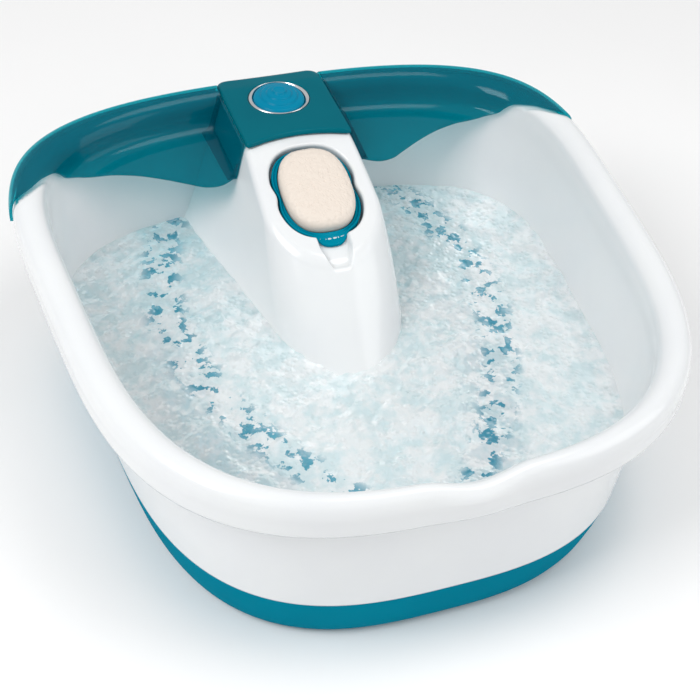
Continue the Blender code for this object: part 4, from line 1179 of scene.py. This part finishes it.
@dataclass
class Guard:
    """Clear splash guard over the back of the rim, with recessed wings and a lobed front edge."""

    rim: RimLine
    tower: Tower
    columns: int = 620
    rows: int = 84
    thickness: float = 0.0019
    bridge_top: float = 0.1388
    clear: float = 0.0008
    collar_rear: float = 0.1790
    collar_low: float = 0.1226
    collar_top: float = 0.1467

    def section(self) -> np.ndarray:
        """Rows over the rim and down to the shelf, finely spaced."""
        return smooth_rows([
            (0.0, 0.0, 0.0, 0.1290), (0.0, 0.0, 0.0, 0.1363), (0.0019, 0.0019, 0.0019, 0.1431),
            (0.0058, 0.0056, 0.0056, 0.1464), (0.0107, 0.0082, 0.0089, 0.1471),
            (0.0158, 0.0110, 0.0128, 0.1457), (0.0208, 0.0150, 0.0166, 0.1412),
            (0.0230, 0.0172, 0.0188, 0.1355), (0.0245, 0.0186, 0.0210, 0.1300),
            (0.0285, 0.0225, 0.0250, 0.1262), (0.0420, 0.0360, 0.0360, 0.1250),
            (0.0620, 0.0560, 0.0560, 0.1238), (0.0900, 0.0900, 0.0960, 0.1222)], 900)

    @staticmethod
    def edge_line() -> np.ndarray:
        """The front edge in plan, from the middle out to the side."""
        return smooth_rows([
            (0.000, 0.126), (0.0395, 0.1235), (0.046, 0.1185), (0.057, 0.1135), (0.066, 0.1145),
            (0.076, 0.120), (0.090, 0.128), (0.108, 0.136), (0.127, 0.140), (0.146, 0.140),
            (0.158, 0.134), (0.170, 0.122), (0.184, 0.107), (0.200, 0.102), (0.240, 0.100)], 400)

    def build(self) -> None:
        """Make the guard: each section line ends where it meets the front edge or the panel's opening."""
        rows = self.section()
        edge = self.edge_line()
        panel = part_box("control_panel")[1].x + GAP
        fine = np.linspace(-np.pi / 2, np.pi / 2, 8001)
        outer = self.rim.place(fine, rows[:1, :3])[0]
        start = fine[np.argmax(outer[:, 1] > np.interp(np.abs(outer[:, 0]), *edge.T) + 1e-5)]
        angle = self.rim.even_angles(self.columns, start, np.pi - start, closed=False)
        path = self.rim.rings(rows, angle)
        x, y, z = np.moveaxis(path, -1, 0)
        room = y - np.interp(np.abs(x), *edge.T)
        room = np.minimum(room, np.where(z > self.bridge_top, np.abs(x) - panel, 1.0))
        beside = np.abs(x) - self.tower.half_width(y, z) - self.clear
        room = np.minimum(room, np.where(y < self.collar_rear + 0.006, beside, 1.0))
        out = room < 0
        out[-1] = True
        last = np.argmax(out, axis=0)
        before = np.maximum(last - 1, 0)
        column = np.arange(self.columns)
        a, b = room[before, column], room[last, column]
        part = np.clip(np.where(a > b, a / np.maximum(a - b, 1e-9), 0.0), 0.0, 1.0)
        stop = np.maximum(before + part, 10.0)
        want = np.linspace(0, 1, self.rows)[:, None] * stop
        k = np.minimum(want.astype(int), len(rows) - 2)
        t = (want - k)[..., None]
        grid = path[k, column] * (1 - t) + path[k + 1, column] * t
        guard = surface("guard_shell", grid[:, ::-1], around=False, sharp=60.0)
        finish_with(guard, ("SOLIDIFY", {"thickness": self.thickness, "offset": -1.0, "use_rim": True}),
                    ("BEVEL", {"width": 0.0005, "segments": 2, "limit_method": "ANGLE",
                               "angle_limit": math.radians(55)}))
        guard.data.shade_smooth()
        guard.data.set_sharp_from_angle(angle=math.radians(60))
        wear(guard, "basin", "teal_clear", Finish.CLEAR, "splash_guard")
        for side, word in ((-1, "left"), (1, "right")):
            self.build_collar(side, word)

    def build_collar(self, side: int, word: str) -> None:
        """Upright wall of the guard along one side of the tower, up to the panel's edge.

        Its closed section runs up the outer face, which flares at the shelf, over a round top edge and
        down the inner face; the section is carried from the front edge to the back wall.

        Args:
            side: -1 for the left wall, 1 for the right.
            word: the side's name.
        """
        thick, low, top, flare = self.thickness, self.collar_low, self.collar_top, 0.0045
        rise = np.linspace(low, top - thick / 2, 26)
        up = np.clip((rise - low) / flare, 0.0, 1.0)
        outside = thick + flare * (1.0 - np.sqrt(1.0 - (1.0 - up) ** 2))
        turn = np.linspace(0, np.pi, 9)[1:-1]
        offset = np.concatenate([outside, thick / 2 + thick / 2 * np.cos(turn), np.zeros(26)])
        height = np.concatenate([rise, top - thick / 2 + thick / 2 * np.sin(turn), rise[::-1]])
        reach = self.tower.half_width(0.121, height) + self.clear + thick
        front = np.interp(reach, *self.edge_line().T)
        share = np.linspace(0, 1, 70)[:, None]
        y = front * (1 - share) + (self.collar_rear + 0.004) * share
        x = self.tower.half_width(y, height) + self.clear + offset
        x = np.maximum(x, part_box("control_panel")[1].x + GAP + offset)
        grid = np.stack([side * x, np.broadcast_to(y, x.shape), np.broadcast_to(height, x.shape)], -1)
        wall = surface(f"guard_collar_{word}", grid, caps="both", sharp=60.0)
        wear(wall, "basin", "teal_clear", Finish.CLEAR, "splash_guard")


@dataclass
class Panel:
    """Teal control panel with an oval seat for the silver ring and a cup for the button."""

    points: int = 480
    thick: float = 0.0034
    seat_depth: float = 0.0016
    cup_depth: float = 0.0140
    cup_wall: float = 0.0013
    edge: float = 0.0026
    rear_edge: float = 0.0060
    seat_wide: float = 0.0214
    seat_long: float = 0.0193
    cup: float = 0.0184
    bezel_bore: float = 0.0182

    def outline(self, middle: float, low: Vector, high: Vector) -> np.ndarray:
        """Plan outline with round corners and an arched front edge, about the button's axis."""
        half, front, rear = high.x, low.y, high.y
        plan = rounded_profile([
            (0.0, rear, 0.0), (half, rear, 0.0085), (half, front, 0.0042),
            (0.55 * half, front + 0.0052, 0.012), (0.0, front + 0.0076, 0.016),
            (-0.55 * half, front + 0.0052, 0.012), (-half, front, 0.0042),
            (-half, rear, 0.0085), (0.0, rear, 0.0)], 14)
        return plan[:-1] - (0.0, middle)

    def build(self) -> None:
        """Make the panel and dress it."""
        low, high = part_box("control_panel")
        middle = middle_of("power_button")[1]
        bearing = np.linspace(0, 2 * np.pi, self.points, endpoint=False)
        plan = polar(self.outline(middle, low, high), bearing)
        top, slab = high.z, high.z - self.thick
        oval = ellipse(self.seat_wide, self.seat_long, bearing)
        cup = np.full_like(plan, self.cup)

        def ring(radius: np.ndarray, height: float | np.ndarray) -> np.ndarray:
            """Ring about the button's axis."""
            return np.stack([radius * np.cos(bearing), middle + radius * np.sin(bearing),
                             np.broadcast_to(height, radius.shape)], -1)

        rings = [ring(cup + self.cup_wall, slab), ring(plan - 0.0006, slab),
                 ring(plan - 0.0001, slab + 0.0003)]
        back = ease((np.sin(bearing) - 0.35) / 0.45)
        soft = self.edge + (self.rear_edge - self.edge) * back
        rings += [ring(plan - soft * a, top - self.edge * b) for a, b in quarter_turn(12, 0)]
        inner, round_in = plan - soft, 0.0010
        rings += [ring(inner * (1 - t) + (oval + round_in) * t, top) for t in np.linspace(0, 1, 16)[1:]]
        rings += [ring(oval + round_in * b, top - round_in * a) for a, b in quarter_turn(6)]
        seat, floor = top - self.seat_depth, top - self.cup_depth
        under = floor - 0.0014
        rings += [ring(oval, seat), ring(cup, seat), ring(cup, floor), ring(cup * 0.2, floor),
                  ring(cup * 0.2, under), ring(cup + self.cup_wall, under)]
        grid = np.stack(rings)
        fall = 0.0013 * ease((grid[..., 1] - (high.y - 0.016)) / 0.014)
        grid[..., 2] -= fall * ease((grid[..., 2] - slab) / 0.0010)
        panel = surface("panel_shell", grid, loop=True, sharp=50.0)
        wear(panel, "basin", "teal_plastic", Finish.PANEL, "control_panel")
        self.build_lip(low, high)
        self.build_bezel(middle, top)

    def build_lip(self, low: Vector, high: Vector) -> None:
        """Back lip of the panel: a rounded bar that closes the gap down to the guard's bridge."""
        half, thick = high.x - 0.0060, 0.0021
        bottom, top = 0.1396, high.z - 0.0036
        rear = high.y - 0.0004
        plan = rounded_profile([(-half, rear - 0.010, 0), (-half, rear, 0.004), (half, rear, 0.004),
                                (half, rear - 0.010, 0)], 8)
        inside = plan * ((half - thick) / half, 1.0) - (0.0, thick)
        soft = 0.0005
        section = rounded_profile([(0.5, bottom, 0), (0.0, bottom, soft), (0.0, top, soft), (1.0, top, soft),
                                   (1.0, bottom, soft), (0.5, bottom, 0)], 4)[:-1]
        flat = plan[:, None] + (inside - plan)[:, None] * section[None, :, :1]
        grid = np.concatenate([flat, np.broadcast_to(section[None, :, 1:], (*flat.shape[:2], 1))], -1)
        lip = surface("panel_lip", grid, caps="both", sharp=40.0)
        wear(lip, "basin", "teal_plastic", Finish.PANEL)

    def build_bezel(self, middle: float, top: float) -> None:
        """Silver ring that shows as two crescents beside the button."""
        bearing = np.linspace(0, 2 * np.pi, 240, endpoint=False)
        inner = np.full(240, self.bezel_bore)
        wide, tall = self.seat_wide - 0.0002, self.seat_long - 0.0002
        outer = ellipse(wide, tall, bearing)
        rows = [(0.0, -0.0015), (0.0, -0.0006), (0.15, -0.0002), (0.4, 0.0002), (0.7, 0.0001),
                (0.92, -0.0003), (1.0, -0.0008), (1.0, -0.0015)]
        grid = np.stack([np.stack([(inner + (outer - inner) * s) * np.cos(bearing),
                                   middle + (inner + (outer - inner) * s) * np.sin(bearing),
                                   np.full(240, top + z)], -1) for s, z in rows])
        bezel = surface("silver_ring", grid, loop=True, sharp=40.0)
        wear(bezel, "basin", "chrome", Finish.SILVER, "button_bezel")


@dataclass
class Button:
    """Round power button with stepped rings."""

    radius: float = 0.0177
    skirt: float = 0.0045
    coil: float = 0.0062
    wire: float = 0.00036
    travel: float = 0.0025

    def build(self) -> None:
        """Make the button and dress it."""
        low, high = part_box("power_button")
        middle = middle_of("power_button")
        top, r = high.z, self.radius
        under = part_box("control_panel")[1].z - self.skirt
        profile = rounded_profile([
            (0.0001, top - 0.0004, 0), (0.0036, top - 0.0003, 0.0005), (0.0042, top, 0.0006),
            (0.0052, top - 0.0014, 0.0006), (0.0082, top - 0.0017, 0.0006), (0.0092, top - 0.0030, 0.0006),
            (0.0122, top - 0.0033, 0.0006), (0.0133, top - 0.0047, 0.0006), (0.0161, top - 0.0051, 0.0009),
            (r, top - 0.0068, 0.0010), (r, under, 0.0003), (0.0034, under, 0.0003),
            (0.0030, low.z + 0.0003, 0.0003), (0.0001, low.z, 0)], 5)
        button = turned("button_cap", profile, middle, 160)
        wear(button, "button", "button_blue", Finish.BUTTON, "power_button")
        self.build_spring(middle)

    def build_spring(self, middle: tuple[float, float]) -> None:
        """Make the return spring as one fixed coil; the real spring shortens as the button goes down.

        A circle of the wire's radius is carried along a helix of even pitch.

        Args:
            middle: x and y of the button's axis.
        """
        low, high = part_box("button_spring")
        wire, coil, turns = self.wire, self.coil, 3
        turn = np.linspace(0, 2 * np.pi * turns, 72 * turns + 1)[:, None]
        around = np.linspace(0, 2 * np.pi, 12, endpoint=False)
        radius = coil + wire * np.cos(around)
        rise = low.z + wire + (high.z - low.z - 2 * wire) * turn / turn[-1]
        grid = np.stack([middle[0] + radius * np.cos(turn), middle[1] + radius * np.sin(turn),
                         rise + wire * np.sin(around)], -1)
        spring = surface("return_spring", grid, caps="both")
        wear(spring, "basin", "steel", Finish.STEEL, "button_spring")
        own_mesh(spring)


@dataclass
class Pumice:
    """Scalloped teal holder with its front tab, and the domed porous stone."""

    pocket: Pocket
    points: int = 420
    stone_half_width: float = 0.0236
    stone_half_length: float = 0.0318
    stone_crown: float = 0.0078
    holder_top: float = 0.0024
    seat: float = 0.0090
    play: float = 0.0016
    tab_half: float = 0.0092
    tab_front: float = 0.0424

    def with_tab(self, body: np.ndarray, bearing: np.ndarray) -> np.ndarray:
        """Distance to the holder's edge: the larger of its body and its front tab, averaged over nearby
        bearings where they meet.

        Args:
            body: distance to the body's edge at each bearing.
            bearing: the bearings.

        Returns:
            One distance per bearing.
        """
        down = np.maximum(-np.sin(bearing), 1e-3)
        side = np.maximum(np.abs(np.cos(bearing)), 1e-3)
        tab = np.where(np.sin(bearing) < 0, np.minimum(self.tab_front / down, self.tab_half / side), 0.0)
        both, reach = np.maximum(body, tab), 15
        window = np.hanning(2 * reach + 1)
        padded = np.concatenate([both[-reach:], both, both[:reach]])
        return np.convolve(padded, window / window.sum(), "valid")

    def build_holder(self) -> None:
        """Make the holder: outside wall, rounded rim, a dished band and the seat."""
        p = self.pocket
        bearing = np.linspace(-np.pi / 2, 1.5 * np.pi, self.points, endpoint=False)
        body = polar(p.oblong(p.half_width - self.play, p.half_length - self.play, p.waist), bearing)
        whole = self.with_tab(body, bearing)
        hole = polar(p.oblong(self.stone_half_width + GAP, self.stone_half_length + GAP, 0.0), bearing)
        low, tab_low, top, soft = p.depth - GAP, 0.0050, self.holder_top, 0.0010
        rings = [p.ring(body - 0.0018, bearing, low), p.ring(body - 0.0004, bearing, low - 0.0012)]
        rings += [p.ring(body, bearing, d) for d in np.linspace(low - 0.0028, tab_low, 5)]
        rings += [p.ring(whole - 0.0004, bearing, tab_low - 0.0001)]
        rings += [p.ring(whole, bearing, d) for d in np.linspace(tab_low - 0.0004, top + soft, 3)]
        rings += [p.ring(whole - soft * a, bearing, top + soft * b) for a, b in quarter_turn(7)]
        for t in np.linspace(0, 1, 9)[1:]:
            dish = 0.0012 * math.sin(math.pi * t) ** 2
            rings.append(p.ring((whole - soft) * (1 - t) + (hole + 0.0004) * t, bearing, top + dish))
        rings += [p.ring(hole, bearing, d) for d in np.linspace(top + 0.0004, self.seat, 6)]
        rings += [p.ring(hole * s, bearing, self.seat) for s in (0.7, 0.3)]
        holder = surface("stone_holder", np.stack(rings), caps="both", sharp=50.0)
        wear(holder, "pumice", "teal_plastic", Finish.TEAL, "pumice_holder")

    def build_stone(self) -> None:
        """Make the stone: a domed oblong whose skin is dented by pores of several sizes."""
        p = self.pocket
        columns, rows = 460, 130
        bearing = np.linspace(-np.pi, np.pi, columns, endpoint=False)
        edge = polar(p.oblong(self.stone_half_width, self.stone_half_length, 0.0), bearing)
        profile = smooth_rows([
            (0.00, -self.seat + 0.0003), (0.50, -self.seat + 0.0003), (0.90, -self.seat + 0.0004),
            (0.97, -self.seat + 0.0016), (0.996, -self.seat + 0.0040), (0.998, -0.0010), (0.990, 0.0018),
            (0.968, 0.0036), (0.92, 0.0052), (0.80, 0.0066), (0.55, 0.0074), (0.25, 0.0077),
            (0.00, self.stone_crown)], rows)
        fit = np.clip(profile[1:-1, 0], 0.004, 0.998)[:, None]
        local = np.stack([fit * edge * np.cos(bearing), fit * edge * np.sin(bearing),
                          np.broadcast_to(profile[1:-1, 1][:, None], (rows - 2, columns))], -1)
        rough = 0.00016 * ripple(local, 0.0042, 3) + 0.00010 * ripple(local, 0.0019, 5)
        draw = np.random.default_rng(11)
        flat = local.reshape(-1, 3)
        dents = np.zeros(len(flat))
        spots = draw.uniform((-1, -1, 0), (1, 1, 1), (1500, 3)) * (0.024, 0.032, 1)
        for x, y, size in spots:
            reach = 0.00035 + 0.00055 * size ** 3
            near = (np.abs(flat[:, 0] - x) < reach) & (np.abs(flat[:, 1] - y) < reach)
            away = np.hypot(flat[near, 0] - x, flat[near, 1] - y) / reach
            dents[near] = np.maximum(dents[near], reach * 0.55 * np.clip(1 - away ** 2, 0, 1))
        top = ease((local[..., 2] + 0.002) / 0.004)
        local[..., 2] += (rough - dents.reshape(local.shape[:2])) * top - 0.0002 * top
        stone = surface("stone", p.to_world(local), caps="both", sharp=180.0)
        wear(stone, "pumice", "pumice", Finish.PUMICE, "pumice_stone")


class Carried:
    """CAD nodes that keep their shape and only get a better finish."""

    @staticmethod
    def dress(frame: dict) -> None:
        """Give every CAD node the procedural finish of its record slot.
        """
        for row in frame["record"]["subparts"]:
            node = frame["nodes"][row["node"]]
            finish = SLOT_FINISH[row["material_slot"]]
            for place in node.material_slots:
                place.material = finish.material()
            if not node.material_slots:
                node.data.materials.append(finish.material())
            LOG.info("%s keeps its CAD shape, %s", row["node"], finish.name)


# ---------------------------------------------------------------- contents, light and camera
@dataclass
class Water:
    """Bubbling water that the basin holds: not part of the object."""

    rim: RimLine
    level: Levels

    def material(self) -> bpy.types.Material:
        """Milky, glossy, broken water, with teal painted where the strips show through from below."""
        g = Graph("bubbling_water")
        swirl = g.noise(48.0, 3.0, 0.5)
        froth = g.noise(150.0, 3.0, 0.55)
        beads = 1.0 - g.cells(240.0).ramp(0.10, 0.55)
        place = g.node("ShaderNodeSeparateXYZ", None, {"Vector": g.place()})
        across, along = Value(g, place.outputs["X"]), Value(g, place.outputs["Y"])
        strip = across.math("ABSOLUTE") + 2.28 * (along - 0.05) ** 2 - 0.107
        over = 1.0 - strip.math("ABSOLUTE").ramp(0.006, 0.020)
        # teal painted on the water along the strips' line stands for the strips seen through it: painted
        # see-through light
        painted_strip_view = over * g.noise(115.0, 3.0, 0.6).ramp(0.53, 0.57)
        white = (swirl * 0.6 + froth * 0.4).ramp(0.40, 0.60)
        surface_colour = g.blend(white, (0.72, 0.87, 0.90), (0.93, 0.97, 0.98))
        g.set(Base_Color=g.blend(painted_strip_view * 0.9, surface_colour, (0.0, 0.30, 0.44)),
              Roughness=0.06 + 0.10 * white, IOR=1.33)
        g.shader.inputs["Transmission Weight"].default_value = 0.40
        g.bump(swirl * 1.0 + froth * 0.30 + beads * 0.30, 0.50, 0.0030)
        return g.material

    def build(self) -> None:
        """Make the rippled sheet: rings that shrink from the tub's wall to the middle, as a stage piece."""
        wall = np.array([(0.0264, 0.0178, 0.0374, self.level.water)])
        edge = self.rim.rings(wall, self.rim.even_angles(420))[0]
        middle = np.array([0.0, -0.02, self.level.water])
        share = np.linspace(0.02, 1.0, 200)[:, None, None]
        grid = middle + (edge - middle) * share
        wave = 0.0012 * ripple(grid, 0.045, 1) + 0.0009 * ripple(grid, 0.019, 2) \
            + 0.0006 * ripple(grid, 0.009, 4)
        fade = 1.0 - 0.6 * ease((share[..., 0] - 0.96) / 0.04)
        grid[..., 2] += wave * fade
        sheet = surface("water_sheet", grid, caps="first", sharp=180.0)
        sheet.data.materials.append(self.material())


@dataclass(frozen=True)
class Lamp:
    """One soft rectangular light."""

    name: str
    place: tuple[float, float, float]
    size: float
    power: float

    def build(self) -> None:
        """Make the light, aimed at the basin."""
        data = bpy.data.lights.new(self.name, "AREA")
        data.shape, data.size, data.size_y = "RECTANGLE", self.size, self.size
        data.energy = self.power
        lamp = bpy.data.objects.new(self.name, data)
        lamp.location = self.place
        aim = Vector((0.0, 0.0, 0.08)) - Vector(self.place)
        lamp.rotation_euler = aim.to_track_quat("-Z", "Y").to_euler()
        bpy.context.scene.collection.objects.link(lamp)


@dataclass
class Studio:
    """Pale floor, soft lights, white surroundings and the camera."""

    lamps: list[Lamp] = field(default_factory=lambda: [
        Lamp("key", (-1.1, -0.3, 1.4), 0.8, 14.5),
        Lamp("fill", (1.3, -0.9, 0.9), 1.2, 6.5),
        Lamp("top", (0.5, -0.3, 1.9), 0.8, 8.0),
    ])
    surround: float = 0.54
    eye: tuple[float, float, float] = (-0.271, -0.645, 0.729)
    ahead: tuple[float, float, float] = (0.2926, 0.6591, -0.6928)
    right: tuple[float, float, float] = (0.9380, -0.3385, 0.0742)
    lens: float = 76.35
    shift: tuple[float, float] = (-0.0314, 0.0131)

    def floor(self) -> None:
        """Round pale floor that the basin stands on."""
        rings = np.stack([circle(r, 0.0, 96) for r in (0.5, 1.5, 6.0)])
        floor = surface("floor", rings[::-1], caps="last")
        g = Graph("floor_white")
        g.set(Base_Color=g.blend(g.noise(3.0).ramp(0.3, 0.7), (0.93, 0.93, 0.93), (0.95, 0.95, 0.95)),
              Roughness=0.6)
        floor.data.materials.append(g.material)

    def world(self) -> None:
        """White surroundings."""
        world = bpy.data.worlds.new("white_room")
        world.use_nodes = True
        back = world.node_tree.nodes["Background"]
        back.inputs["Color"].default_value = (1.0, 1.0, 1.0, 1.0)
        back.inputs["Strength"].default_value = self.surround
        bpy.context.scene.world = world
        bpy.context.scene.view_settings.view_transform = "Standard"

    def camera(self) -> None:
        """Camera above the front left of the basin, a little rolled, with a small shift."""
        data = bpy.data.cameras.new("camera")
        data.lens, data.sensor_width = self.lens, 36.0
        data.shift_x, data.shift_y = self.shift
        data.clip_start, data.clip_end = 0.01, 50.0
        right, ahead = Vector(self.right).normalized(), Vector(self.ahead).normalized()
        up = right.cross(ahead).normalized()
        turn = Matrix((right, up, -ahead)).transposed()
        camera = bpy.data.objects.new("camera", data)
        camera.matrix_world = Matrix.Translation(self.eye) @ turn.to_4x4()
        bpy.context.scene.collection.objects.link(camera)
        bpy.context.scene.camera = camera

    def build(self) -> None:
        """Make the whole studio."""
        self.floor()
        self.world()
        self.camera()
        for lamp in self.lamps:
            lamp.build()


def main() -> None:
    """Build every piece in order."""
    logging.basicConfig(level=logging.INFO, format="%(message)s")
    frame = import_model()
    level = Levels.from_frame()
    rim = RimLine(half_width=0.1897, half_length=0.1968)
    pocket = Pocket()
    Carried.dress(frame)
    wall = [(0.036, 0.1420), (0.050, 0.1560), (0.067, 0.1603), (0.095, 0.1698), (0.120, 0.1773),
            (0.1355, 0.1812), (0.1429, 0.1832), (0.152, 0.1860)]
    tower = Tower(level, pocket, wall)
    Tub(rim, level).build(tower)
    tower.build()
    Tray(rim, level).build()
    Guard(rim, tower).build()
    Panel().build()
    Button().build()
    stone = Pumice(pocket)
    stone.build_holder()
    stone.build_stone()
    Water(rim, level).build()
    Studio().build()


if __name__ == "__main__":
    main()
